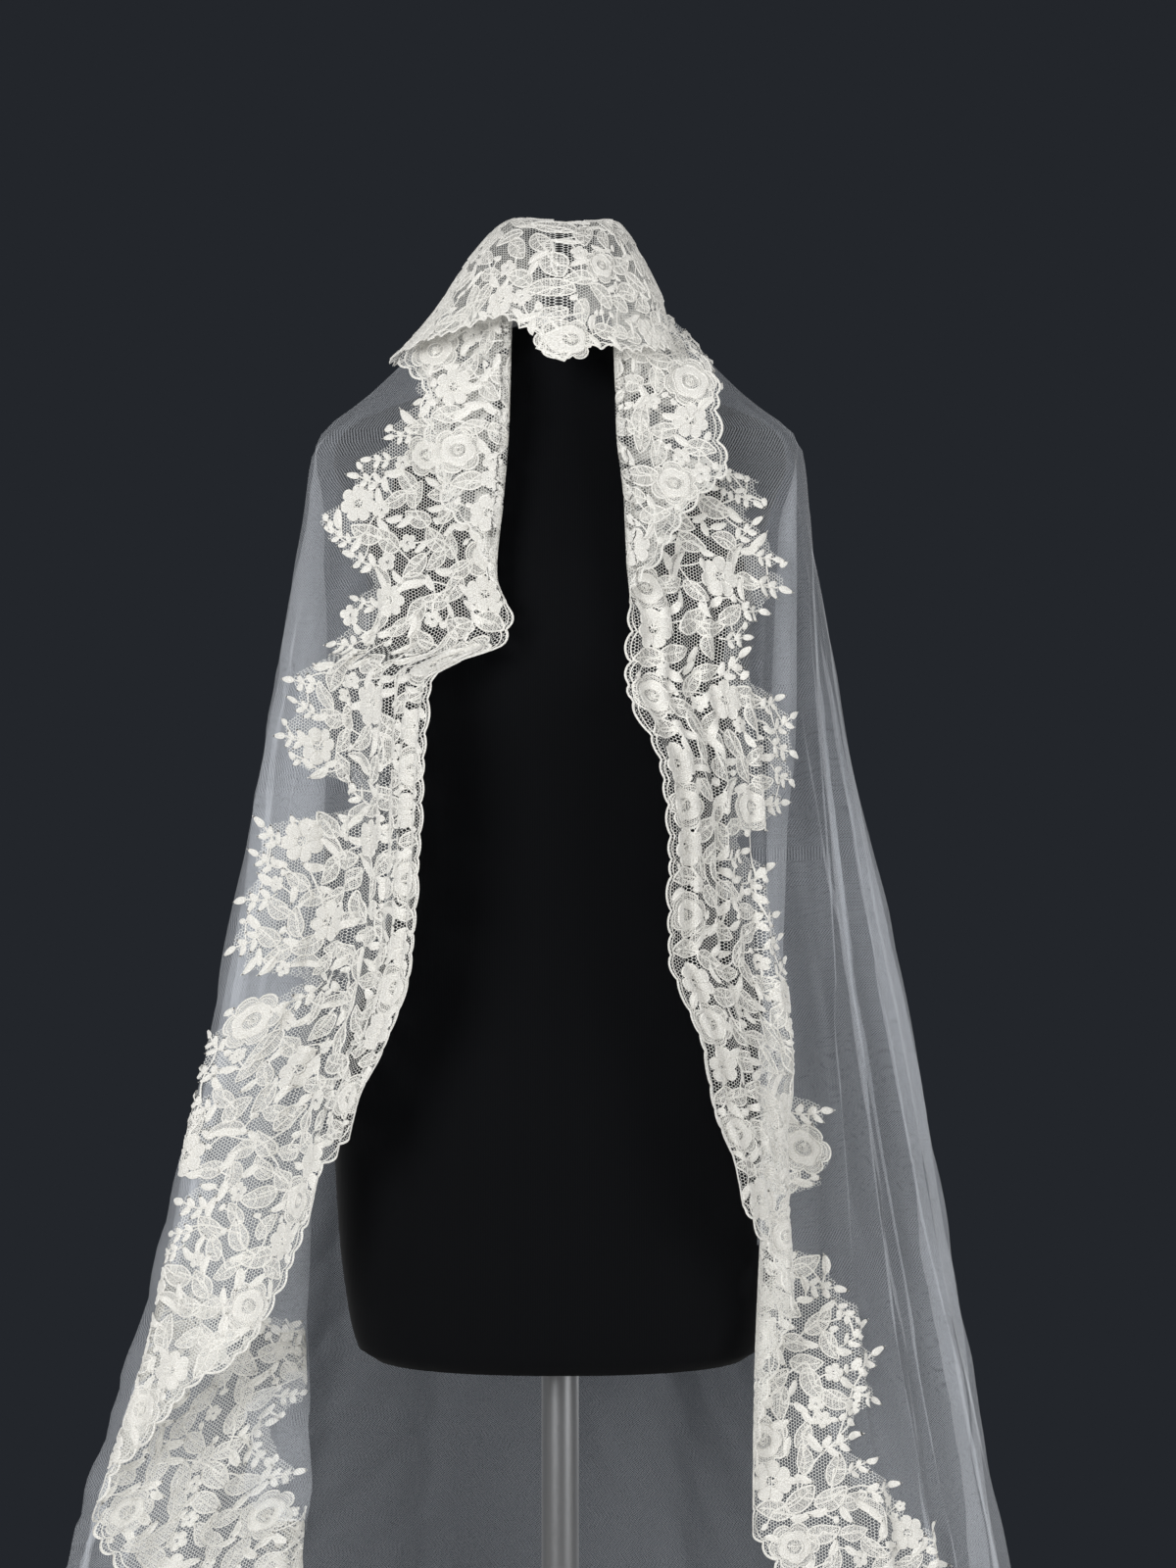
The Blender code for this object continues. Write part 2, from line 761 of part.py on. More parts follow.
def lapel_edge(half, table):
    """The free edge of a turned back lapel, from top to bottom."""
    rows = rows_of(table)
    levels = level_rows(rows[0, 0], FLAP_END_Z + 0.001, 0.008)
    xs = smooth_steps(levels, rows[:, 0], rows[:, 1])
    return [(half.q_of_x(z, x, 0.0, 2.4), z) for z, x in zip(levels, xs)]


def front_edge(half, table):
    """The free edge below the lapels, down the front line and then across the folds."""
    first = table[1][1]
    path = [(0.0, z) for z in level_rows(FLAP_END_Z, first + 0.03, 0.02)]
    spans = {
        "front": (3.0, half.at["fold_out"]),
        "turned": (half.at["fold_out"], half.at["fold_in"]),
        "under": (half.at["fold_in"], half.at["side"]),
    }
    for layer, z, x in table[1:]:
        path.append((half.q_of_x(z, x, *spans[layer]), z))
    return path


def parted(path, z):
    """A falling line of points cut in two at a height."""
    path = np.array(path)
    cut = np.interp(-z, -path[:, 1], path[:, 0])
    above = [tuple(p) for p in path if p[1] > z + 0.002]
    below = [tuple(p) for p in path if p[1] < z - 0.002]
    return above + [(cut, z)], [(cut, z)] + below


def band_inner(path, width):
    """The inner limit of the lace, a band's width from its free edge."""
    path = np.array(path)
    levels = level_rows(path[0, 1], path[-1, 1], 0.03)
    edge = np.interp(-levels, -path[:, 1], path[:, 0])
    slope = np.gradient(edge, levels)
    reach = width * np.sqrt(1.0 + np.minimum(slope, 1.2) ** 2)
    inner = edge + reach
    for _ in range(6):
        inner[1:-1] = (inner[:-2] + 2 * inner[1:-1] + inner[2:]) / 4
    return np.column_stack([inner, levels])


def lace_stretch(name, half, path, inner, gap_above, gap_below, peak, material):
    """A stretch of the lace between two levels, scalloped outside, sprayed inside."""
    top, bottom = path[0][1] - gap_above, path[-1][1] + gap_below
    path, inner = clipped(path, top, bottom), clipped(inner, top, bottom)
    outer_rim = waved(path, SCALLOP_PITCH, -SCALLOP_DEPTH, 3)
    inner_rim = waved(inner[::-1], SPRAY_PITCH, -SPRAY_DEPTH, 6)
    lower = resampled([path[-1], inner[-1]], 0.02)[1:-1]
    upper = resampled([inner[0], *peak, path[0]], 0.02)[1:-1]
    outline = np.vstack([outer_rim, lower, inner_rim, upper])
    return cloth_piece(name, half, outline, LACE_WALL, 0.0, material)


def clipped(path, top, bottom):
    """The part of a falling line between two heights, with points on both."""
    path = np.array(path)
    ends = [(float(np.interp(-z, -path[:, 1], path[:, 0])), z) for z in (top, bottom)]
    middle = [tuple(p) for p in path if bottom + 0.003 < p[1] < top - 0.003]
    return np.array([ends[0], *middle, ends[1]])


def tulle_half(name, half, path, inner, material):
    """The plain net from under the lace to the centre back."""
    lap = np.column_stack([inner[:, 0] - LACE_LAP, inner[:, 1]])
    lap = clipped(lap, TULLE_TOP_Z if lap[0, 1] > TULLE_TOP_Z else lap[0, 1], HEM_Z)
    start = lap[0]
    end_q = [half.q[int(round((z - half.z[0]) / half.LEVEL)), -1] for z in lap[:, 1]]
    centre = [(q - 2 * SEAM, z) for q, z in zip(end_q, lap[:, 1])]
    top_q = half.q[int(round((TULLE_TOP_Z - half.z[0]) / half.LEVEL)), -1] - 2 * SEAM
    side_q = half.q_at(half.at["bend"], TULLE_TOP_Z)
    head = resampled([(top_q, TULLE_TOP_Z), (side_q, TULLE_TOP_Z)], 0.02)
    neck = resampled([(side_q, TULLE_TOP_Z), start], 0.02)[1:-1]
    foot = resampled([lap[-1], centre[-1]], 0.03)[1:-1]
    outline = np.vstack([lap, foot, centre[::-1], head, neck])
    return cloth_piece(name, half, outline, TULLE_WALL, TULLE_INSET, material)


def crown_profile():
    """Length down the hood's outer layer, with each level's height and half widths."""
    rows = rows_of(CROWN)[::-1]
    size = rows[:, 1:].mean(axis=1)
    run = np.concatenate([[0.0], np.cumsum(np.hypot(np.diff(rows[:, 0]), np.diff(size)))])
    return run, rows


def crown_point(a, b):
    """A point of the outer layer, from its place in a flattened round."""
    run, rows = crown_profile()
    reach = math.hypot(a, b)
    z, left, right, front, back = [smooth_steps(reach, run, rows[:, k]) for k in range(5)]
    turn = math.atan2(a, -b)
    power = 2.0 / CROWN_SQUARENESS
    x = math.copysign(abs(math.sin(turn)) ** power, math.sin(turn))
    y = math.copysign(abs(math.cos(turn)) ** power, math.cos(turn))
    return np.array((x * (left if x < 0 else right), -y * (front if y > 0 else back), z))


def crown_normal(a, b):
    """The outer side of the hood."""
    step = 0.0015
    across = crown_point(a + step, b) - crown_point(a - step, b)
    along = crown_point(a, b + step) - crown_point(a, b - step)
    out = np.cross(across, along)
    return out / np.linalg.norm(out)


def lace_crown(material):
    """The lace over the top of the head, with its scalloped edge over the forehead."""
    run, rows = crown_profile()
    table = rows_of(CROWN_EDGE)
    angles = np.radians(np.arange(-180.0, 180.0, 3.0))
    heights = smooth_steps(np.degrees(angles), table[:, 0], table[:, 1])
    reach = np.interp(-heights, -rows[:, 0], run)
    rim = [(r * math.sin(t), -r * math.cos(t)) for t, r in zip(angles, reach)]
    outline = waved(np.vstack([rim, rim[:1]]), SCALLOP_PITCH, -SCALLOP_DEPTH, 3)[:-1]
    columns = []
    for r in run[1:]:
        turns = np.radians(np.arange(0.0, 361.0, 12.0))
        columns.append([(r * math.sin(t), -r * math.cos(t)) for t in turns[:-1]])
    columns.append([(0.0, 0.0)])
    flat, triangles = flat_triangles(outline, columns, 0.003)
    return walled(
        "lace_crown", flat, triangles, crown_point, crown_normal, LACE_WALL, 0.0, material
    )


def turned_piece(name, profile, material):
    """A turned solid: its profile of radii and heights runs from top to bottom."""
    mesh = bpy.data.meshes.new(name)
    vertices = [(r, 0.0, z) for r, z in profile]
    mesh.from_pydata(vertices, [(k, k + 1) for k in range(len(vertices) - 1)], [])
    mesh.materials.append(material)
    piece = bpy.data.objects.new(name, mesh)
    bpy.data.collections[COLLECTION].objects.link(piece)
    screw = piece.modifiers.new("turn", "SCREW")
    screw.steps = screw.render_steps = 32
    screw.use_merge_vertices = True
    screw.merge_threshold = 1e-5
    screw.use_smooth_shade = True
    return piece


def torso(material):
    """The dress form's body, from its underside to the neck."""
    rows = rows_of(TORSO)
    turns = np.linspace(0.0, 2 * math.pi, TORSO_SIDES, endpoint=False)
    vertices = []
    for z, width, front, back in rows:
        square = TORSO_SQUARENESS if z < 1.45 else 2.0
        for turn in turns:
            x = math.copysign(abs(math.sin(turn)) ** (2 / square), math.sin(turn))
            y = math.copysign(abs(math.cos(turn)) ** (2 / square), math.cos(turn))
            vertices.append((width * x, -y * (front if y > 0 else back), z))
    faces = []
    for level in range(len(rows) - 1):
        for side in range(TORSO_SIDES):
            after = (side + 1) % TORSO_SIDES
            low, high = level * TORSO_SIDES, (level + 1) * TORSO_SIDES
            faces.append((low + side, low + after, high + after, high + side))
    faces.append(tuple(reversed(range(TORSO_SIDES))))
    faces.append(tuple(range((len(rows) - 1) * TORSO_SIDES, len(rows) * TORSO_SIDES)))
    return object_of("form_torso", vertices, faces, material)


def stand(metal, dark):
    """Neck plate, knob, pole and base."""
    low, high = NECK_PLATE
    edge = 0.0015
    turned_piece(
        "form_neck_plate",
        [(0, high), (NECK_RADIUS - edge, high), (NECK_RADIUS, high - edge)]
        + [(NECK_RADIUS, low + edge), (NECK_RADIUS - edge, low), (0, low)],
        metal,
    )
    rim = 0.006
    under = KNOB_TOP_Z - 0.018
    foot = high + SEAM
    turned_piece(
        "form_knob",
        [(0, KNOB_TOP_Z), (KNOB_RADIUS - rim, KNOB_TOP_Z)]
        + [(KNOB_RADIUS - 0.002, KNOB_TOP_Z - 0.002), (KNOB_RADIUS, KNOB_TOP_Z - rim)]
        + [(KNOB_RADIUS - 0.006, under), (STEM_RADIUS, under - 0.006)]
        + [(STEM_RADIUS, foot + 0.006), (STEM_RADIUS + 0.008, foot), (0, foot)],
        dark,
    )
    top = TORSO[1][0] - SEAM
    turned_piece(
        "stand_pole",
        [(0, top), (POLE_RADIUS, top), (POLE_RADIUS, BASE_HEIGHT + SEAM)]
        + [(0, BASE_HEIGHT + SEAM)],
        metal,
    )
    turned_piece(
        "stand_base",
        [(0, BASE_HEIGHT), (BASE_RADIUS - 0.012, BASE_HEIGHT - 0.006)]
        + [(BASE_RADIUS - 0.003, BASE_HEIGHT - 0.009), (BASE_RADIUS, BASE_HEIGHT - 0.013)]
        + [(BASE_RADIUS, 0.002), (BASE_RADIUS - 0.002, 0), (0, 0)],
        dark,
    )


def plain_material(name, colour, roughness, metallic=0.0):
    """A Principled material of one colour."""
    material = bpy.data.materials.new(name)
    material.use_nodes = True
    shader = material.node_tree.nodes["Principled BSDF"]
    shader.inputs["Base Color"].default_value = (*colour, 1.0)
    shader.inputs["Roughness"].default_value = roughness
    shader.inputs["Metallic"].default_value = metallic
    return material


def half_veil(side_name, half, band, lapel_table, run_table, lace, net):
    """The lace stretches and the net of one half."""
    lapel = lapel_edge(half, lapel_table)
    front = front_edge(half, run_table)
    whole = lapel + front[1:]
    inner = band_inner(whole, band)
    upper, lower = parted(whole, FLAP_END_Z)
    gap = SEAM / 2
    peak = [(reach, LAPEL_PEAK_Z[side_name]) for reach in (0.024, -0.022)]
    lace_stretch(f"lace_{side_name}_lapel", half, upper, inner, 0.0, gap, peak, lace)
    lace_stretch(f"lace_{side_name}_front", half, lower, inner, gap, 0.0, [], lace)
    tulle_half(f"tulle_{side_name}", half, whole, inner, net)


def main():
    for old in list(bpy.data.objects):
        bpy.data.objects.remove(old, do_unlink=True)
    bpy.context.scene.collection.children.link(bpy.data.collections.new(COLLECTION))
    lace = plain_material("ivory_lace", (0.82, 0.82, 0.78), 0.6)
    net = plain_material("white_net", (0.86, 0.87, 0.88), 0.55)
    jersey = plain_material("black_jersey", (0.012, 0.014, 0.020), 0.85)
    metal = plain_material("brushed_metal", (0.45, 0.45, 0.46), 0.35, 1.0)
    dark = plain_material("dark_plastic", (0.03, 0.03, 0.035), 0.5)
    left = Half(-1, LEFT, LEFT_HOOD_ANGLES, LEFT_FLAP)
    right = Half(1, RIGHT, RIGHT_HOOD_ANGLES, RIGHT_FLAP)
    half_veil("left", left, LEFT_BAND, LEFT_LAPEL_EDGE, LEFT_EDGE_RUN, lace, net)
    half_veil("right", right, RIGHT_BAND, RIGHT_LAPEL_EDGE, RIGHT_EDGE_RUN, lace, net)
    lace_crown(lace)
    torso(jersey)
    stand(metal, dark)


main()
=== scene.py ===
# %% [markdown]
# # A bridal veil with a floral lace edge, on a dress form
#
# The veil is one sheet of fine tulle. A deep band of corded lace is sewn round its
# free edge, and the edge is turned back at the opening like two lapels. It hangs from
# a padded dress form on a round stand.
#
# This lesson builds the looks of that object around a frame that was made in CAD.
# Lengths are in metres, apart from the tables that say otherwise. The front faces -Y,
# and +X is on its viewer's right.

# %% Load the frame
import math
import random

import bmesh
import bpy
import numpy as np
from mathutils import Matrix, Vector


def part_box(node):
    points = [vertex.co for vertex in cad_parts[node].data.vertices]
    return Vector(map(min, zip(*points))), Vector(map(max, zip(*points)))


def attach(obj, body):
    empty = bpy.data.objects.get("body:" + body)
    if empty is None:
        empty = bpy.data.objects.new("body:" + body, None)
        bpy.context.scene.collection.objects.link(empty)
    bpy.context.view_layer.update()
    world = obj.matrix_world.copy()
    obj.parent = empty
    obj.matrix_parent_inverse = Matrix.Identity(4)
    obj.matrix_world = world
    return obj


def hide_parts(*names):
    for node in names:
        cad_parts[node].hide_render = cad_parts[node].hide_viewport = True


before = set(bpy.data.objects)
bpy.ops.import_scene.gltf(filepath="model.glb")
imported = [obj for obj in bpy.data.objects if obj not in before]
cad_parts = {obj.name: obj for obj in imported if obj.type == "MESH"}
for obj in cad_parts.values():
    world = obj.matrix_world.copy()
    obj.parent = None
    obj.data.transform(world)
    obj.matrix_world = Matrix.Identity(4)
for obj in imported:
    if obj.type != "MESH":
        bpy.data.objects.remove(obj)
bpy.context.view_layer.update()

# %% [markdown]
# ## Colours and nodes
#
# A colour is written as an sRGB hex value, as a thread chart would give it. Blender's
# shaders work in linear light, so one function turns it. Another adds a node with its
# settings, values and links, and every material below is made with it.

# %% Helpers for colours and nodes
IVORY_THREAD = "FCFBF7"
# darker ivory for the painted shade between the lace's stitches
THREAD_IN_PAINTED_SHADE = "CDCAC2"
LACE_GROUND = "F2F2EE"
TULLE_WHITE = "E8EDF5"
BLACK_JERSEY = "07080B"
SEAM_BLACK = "050608"
SATIN_STEEL = "8E8F91"
POWDER_BLACK = "1B1C1F"
KNOB_BLACK = "101114"
FLOOR_GREY = "C9C8C5"
BACKDROP_GREY = "23262B"


def linear(hex_value):
    """An sRGB hex colour as linear red, green, blue and alpha."""
    parts = [int(hex_value[k : k + 2], 16) / 255 for k in (0, 2, 4)]
    turned = [c / 12.92 if c <= 0.04045 else ((c + 0.055) / 1.055) ** 2.4 for c in parts]
    return (*turned, 1.0)


def set_inputs(tree, made, inputs):
    """Gives a node's inputs their values, or links them to the sockets they read."""
    for key, value in inputs.items():
        if isinstance(value, bpy.types.NodeSocket):
            tree.links.new(value, made.inputs[key])
        else:
            made.inputs[key].default_value = value


def node(tree, kind, inputs=None, **settings):
    """A new node with its settings and inputs."""
    made = tree.nodes.new(kind)
    for name, value in settings.items():
        setattr(made, name, value)
    set_inputs(tree, made, inputs or {})
    return made


def math_of(tree, operation, *inputs):
    """The result of one sum on sockets or numbers."""
    return node(tree, "ShaderNodeMath", dict(enumerate(inputs)), operation=operation).outputs[0]


def run_between(tree, value, low, high, start=0.0, end=1.0):
    """A value's run from low to high, turned into one from start to end."""
    limits = {"From Min": low, "From Max": high, "To Min": start, "To Max": end}
    return node(tree, "ShaderNodeMapRange", {"Value": value, **limits}).outputs["Result"]


def noise(tree, place, scale, detail, roughness=0.5):
    """Fine mottling at a place."""
    inputs = {"Vector": place, "Scale": scale, "Detail": detail, "Roughness": roughness}
    return node(tree, "ShaderNodeTexNoise", inputs).outputs["Fac"]


def bumped(tree, height, strength, distance):
    """A surface direction that follows a height."""
    inputs = {"Height": height, "Strength": strength, "Distance": distance}
    return node(tree, "ShaderNodeBump", inputs).outputs["Normal"]


def mixed(tree, factor, first, second):
    """A colour between two, by a factor."""
    inputs = {"Factor": factor, "A": linear(first), "B": linear(second)}
    return node(tree, "ShaderNodeMix", inputs, data_type="RGBA").outputs["Result"]


def new_material(name):
    """A material with an empty Principled shader, its nodes and that shader."""
    material = bpy.data.materials.new(name)
    material.use_nodes = True
    return material, material.node_tree, material.node_tree.nodes["Principled BSDF"]


# %% [markdown]
# ## Bobbinet: the net of tulle and lace
#
# Tulle is a bobbinet: threads twisted round each other leave six-sided holes about a
# millimetre wide. Three cosine waves at 60 degrees to each other add up to a field
# with a peak in every hole and a valley along every thread, so one threshold draws the
# net. It reads the cloth's own flat map in metres, so it follows each fold. What lies
# below the threshold is thread, and the rest is let through by alpha.

# %% The net pattern
# Hole width, where a thread begins and where it ends, and how much its body hides
TULLE_NET = (0.0013, -1.1, -0.5, 0.37)
LACE_NET = (0.0024, -1.1, -0.75, 0.75)
FILLING_NET = (0.0014, -0.9, -0.3, 0.9)  # inside leaves


def net_pattern(tree, hole, thin, thick, body):
    """A socket that is body on a thread of six-sided net and 0 in its holes."""
    place = node(tree, "ShaderNodeUVMap", uv_map="flat").outputs["UV"]
    step = 2 * math.pi / (hole * math.sqrt(3) / 2)
    waves = []
    for degrees in (0, 60, 120):
        turn = math.radians(degrees)
        ahead = (step * math.cos(turn), step * math.sin(turn), 0.0)
        along = node(tree, "ShaderNodeVectorMath", {0: place, 1: ahead}, operation="DOT_PRODUCT")
        waves.append(math_of(tree, "COSINE", along.outputs["Value"]))
    total = math_of(tree, "ADD", math_of(tree, "ADD", waves[0], waves[1]), waves[2])
    return run_between(tree, total, thin, thick, body, 0.0)


# %% [markdown]
# ## Materials of the cloth
#
# Soft tulle is fine nylon or cotton yarn: white, nearly matt, with a light sheen where
# it turns away. The lace motifs are cotton cord and satin stitch over a coarser net.
# Their cords are solid, and the open fillings of leaves and roses are net again, so
# each motif carries an attribute that says how open it is at each point.

# %% Tulle and lace
THREAD_PITCH = 0.0009  # satin stitches lie closer than this, and are drawn as coarse to show


def tulle_material():
    """Soft white bobbinet: fine threads with clear holes between them."""
    material, tree, shader = new_material("soft cotton tulle")
    looks = {"Base Color": linear(TULLE_WHITE), "Roughness": 0.7, "Sheen Weight": 0.25}
    set_inputs(tree, shader, {**looks, "Sheen Roughness": 0.5, "Alpha": net_pattern(tree, *TULLE_NET)})
    return material


def lace_net_material():
    """The lace's own ground: thicker thread and wider holes than the tulle."""
    material, tree, shader = new_material("bobbinet lace ground")
    looks = {"Base Color": linear(LACE_GROUND), "Roughness": 0.75, "Sheen Weight": 0.3}
    set_inputs(tree, shader, {**looks, "Alpha": net_pattern(tree, *LACE_NET)})
    return material


def lace_thread_material():
    """Cotton cord and satin stitch, ivory, with painted shade between the stitches where the stitch bump
    is low.
    """
    material, tree, shader = new_material("corded cotton lace")
    place = node(tree, "ShaderNodeUVMap", uv_map="flat").outputs["UV"]
    stitch = noise(tree, place, 1.0 / THREAD_PITCH, 2.0, 0.65)
    # painted shade: the colour darkens where the stitch bump is low, as between stitches
    painted_stitch_shade = run_between(tree, stitch, 0.36, 0.66, 1.0, 0.0)
    open_fill = node(tree, "ShaderNodeAttribute", attribute_name="open_fill").outputs["Fac"]
    gaps = math_of(tree, "SUBTRACT", 1.0, net_pattern(tree, *FILLING_NET))
    looks = {
        "Base Color": mixed(tree, painted_stitch_shade, IVORY_THREAD, THREAD_IN_PAINTED_SHADE),
        "Roughness": 0.6,
        "Sheen Weight": 0.25,
        "Normal": bumped(tree, stitch, 0.9, 0.0006),
        "Alpha": math_of(tree, "SUBTRACT", 1.0, math_of(tree, "MULTIPLY", open_fill, gaps)),
    }
    set_inputs(tree, shader, looks)
    return material


tulle = tulle_material()
lace_net = lace_net_material()
lace_thread = lace_thread_material()
print("cloth materials:", tulle.name, "|", lace_net.name, "|", lace_thread.name)

# %% [markdown]
# ## The shape of the cloth
#
# Each half of the veil is a stack of level sections. A section is a smooth curve
# through named lines that run down the cloth: the free edge at the opening, the bend
# over the bust, the outer and inner fold, the silhouette, and the pleats of the back.
# The tables give each line's place at a few heights. They are the same lines as the
# CAD solids follow, so every piece below lies where its solid does. The tables of this
# cell are in millimetres, apart from the pleats and the crown.

# %% Sizes and lines of the cloth
HEM_Z = 0.012
FLAP_END_Z = 1.297  # the turned back lapels end here
FLAP_FADE = 0.045  # height over which the turn at the opening opens out below them
TULLE_TOP_Z = 1.504
TURN_GAP = 0.0055  # half the gap between the two layers of a fold
TURN_REACH = 0.014  # length over which a fold rounds off
GAP_SHARE, REACH_SHARE = 0.22, 0.3  # of a short layer, the most that its fold may take
OPEN_REACHES = (0.036, 0.024, 0.012, 0.0, -0.012)  # keys outward from an edge that lies open
SIDE_TURN = 0.008  # half the round of the silhouette
LAPEL_BACK = (-0.004, -0.014)  # from the front line: where a lapel's other side begins to show
SCALLOP_DEPTH = 0.005
BACK_PLEATS = 6  # a half
PLEAT_DEPTH = (("z", "depth"), (1.53, 0.0), (1.36, 0.006), (0.9, 0.020), (0.012, 0.040))

# Upper hood that both halves share, level by level
HOOD = (
    ("z", "left", "right", "front", "back"),
    (1560, 46, 46, 40, 40), (1530, 70, 60, 56, 60), (1488, 101, 97, 68, 80),
    (1445, 144, 139, 78, 98),
)
HOOD_LEVELS = (1.530, 1.488, 1.445)

# The outer layer of the hood, from its lowest level to its flat top
CROWN = (
    ("z", "left", "right", "front", "back"),
    (1.43, 0.165, 0.132, 0.103, 0.106), (1.46, 0.135, 0.108, 0.0995, 0.102),
    (1.488, 0.1075, 0.0885, 0.093, 0.09), (1.513, 0.088, 0.078, 0.087, 0.08),
    (1.5355, 0.074, 0.067, 0.078, 0.069), (1.55, 0.063, 0.059, 0.067, 0.059),
    (1.5605, 0.0535, 0.052, 0.054, 0.048), (1.567, 0.045, 0.0455, 0.042, 0.038),
    (1.569, 0.036, 0.038, 0.03, 0.028), (1.568, 0.0, 0.0, 0.0, 0.0),
)
CROWN_SQUARENESS = 2.8
CROWN_HUMPS = ((-0.031, 0.015, 0.0058), (0.038, 0.011, 0.0042))  # x, spread, height
HUMP_DEPTH = 0.035  # from front to back
CROWN_RIPPLE = 0.0012

# Lower edge of the crown: angle from the front, positive to the right, and height
CROWN_EDGE = (
    ("angle", "z"),
    (-180, 1.505), (-140, 1.49), (-110, 1.474), (-90, 1.466), (-64, 1.469), (-47, 1.473),
    (-31, 1.48), (-17, 1.488), (-12, 1.486), (-8, 1.48), (-5, 1.476), (-3.5, 1.467), (-2, 1.459),
    (0, 1.456), (3, 1.46), (5, 1.464), (8, 1.464), (20, 1.463), (38, 1.465), (48, 1.468),
    (56, 1.482), (62, 1.498), (68, 1.509), (80, 1.511), (90, 1.512), (110, 1.516), (140, 1.512),
    (180, 1.505),
)

# Lines that run down the left half, from the shoulder to the floor
LEFT_HOOD_ANGLES = {"bend": 48, "fold_out": 72, "fold_in": 82, "side": 92}
LEFT = {
    "edge": (
        ("z", "x", "y"),
        (1530, -27, -48), (1488, -35, -62), (1445, -36, -74), (1405, -37, -82), (1356, -40, -104),
        (1302, -44, -132), (1266, -37, -143), (1249, -44, -146), (1238, -68, -151),
        (1226, -89, -162), (1200, -93, -176), (1090, -99, -178), (1020, -105, -175),
        (964, -124, -170), (927, -142, -166), (800, -165, -165), (557, -190, -165), (0, -210, -175),
    ),
    "bend": (
        ("z", "x", "y"),
        (1405, -124, -50), (1356, -130, -62), (1302, -126, -90), (1266, -126, -102),
        (1226, -137, -92), (1179, -148, -85), (1090, -150, -80), (1000, -160, -80),
        (927, -178, -88), (800, -205, -105), (668, -245, -125), (557, -270, -135), (0, -320, -165),
    ),
    "fold_out": (
        ("z", "x", "y"),
        (1405, -180, -30), (1393, -187, -32), (1356, -192, -38), (1276, -204, -44),
        (1198, -216, -48), (1084, -239, -50), (1007, -254, -54), (890, -272, -64), (742, -301, -78),
        (646, -328, -88), (597, -343, -92), (335, -400, -105), (0, -465, -125),
    ),
    "fold_in": (
        ("z", "x", "y"),
        (1405, -186, -6), (1385, -184, -6), (1356, -179, -8), (1107, -178, -12), (890, -187, -18),
        (557, -190, -30), (0, -205, -45),
    ),
    "side": (
        ("z", "x", "y"),
        (1415, -178, 12), (1403, -186, 14), (1362, -193, 18), (1323, -200, 21), (1277, -209, 24),
        (1231, -217, 28), (1179, -226, 31), (1075, -240, 36), (994, -257, 41), (927, -271, 45),
        (861, -290, 50), (779, -312, 55), (683, -340, 60), (557, -381, 70), (0, -520, 100),
    ),
}

# Lines that run down the right half
RIGHT_HOOD_ANGLES = {
    "bend": 46,
    "fold_out": 66,
    "fold_in": 74,
    "ridge": 81,
    "valley": 87,
    "last": 93,
    "side": 100,
}
RIGHT = {
    "edge": (
        ("z", "x", "y"),
        (1530, 27, -48), (1488, 39, -62), (1445, 41, -74), (1405, 42, -82), (1356, 47, -104),
        (1302, 49, -130), (1268, 54, -143), (1220, 51, -152), (1190, 64, -166), (1168, 73, -173),
        (1112, 80, -177), (1030, 80, -176), (1001, 90, -173), (964, 104, -170), (920, 112, -168),
        (879, 127, -166), (800, 136, -164), (557, 142, -162), (0, 160, -170),
    ),
    "bend": (
        ("z", "x", "y"),
        (1405, 122, -50), (1356, 130, -62), (1302, 128, -88), (1268, 128, -100), (1220, 136, -98),
        (1168, 143, -98), (1090, 145, -100), (1000, 146, -106), (927, 149, -116), (850, 152, -126),
        (557, 156, -134), (0, 172, -145),
    ),
    "fold_out": (
        ("z", "x", "y"),
        (1405, 173, -28), (1380, 177, -36), (1340, 176, -48), (1180, 174, -66), (1120, 168, -74),
        (1000, 167, -84), (890, 167, -98), (787, 168, -106), (557, 170, -112), (0, 186, -122),
    ),
    "fold_in": (
        ("z", "x", "y"),
        (1405, 181, -12), (1380, 177, -16), (1340, 166, -24), (1180, 158, -40), (1000, 151, -58),
        (890, 148, -72), (697, 140, -86), (557, 141, -90), (0, 155, -98),
    ),
    "ridge": (
        ("z", "x", "y"),
        (1405, 183, 0), (1356, 187, -10), (1260, 189, -26), (1120, 197, -36), (1024, 202, -42),
        (930, 208, -48), (758, 219, -60), (557, 246, -74), (0, 310, -100),
    ),
    "valley": (
        ("z", "x", "y"),
        (1405, 184, 10), (1356, 190, 6), (1230, 197, 0), (1024, 216, -4), (856, 243, -8),
        (557, 297, -20), (0, 380, -40),
    ),
    "last": (
        ("z", "x", "y"),
        (1405, 185, 20), (1356, 191, 18), (1200, 207, 8), (1024, 234, 0), (844, 268, -6),
        (557, 328, -14), (0, 428, -22),
    ),
    "side": (
        ("z", "x", "y"),
        (1418, 167, 36), (1407, 178, 36), (1390, 185, 37), (1327, 195, 38), (1288, 203, 40),
        (1238, 213, 42), (1179, 223, 44), (1112, 238, 47), (1038, 254, 50), (957, 271, 54),
        (868, 287, 58), (757, 306, 64), (661, 324, 70), (557, 340, 76), (0, 436, 100),
    ),
}
BACK_CENTRE = (
    ("z", "y"),
    (1405, 110), (1356, 122), (1250, 138), (1080, 168), (890, 212), (557, 285), (0, 390),
)

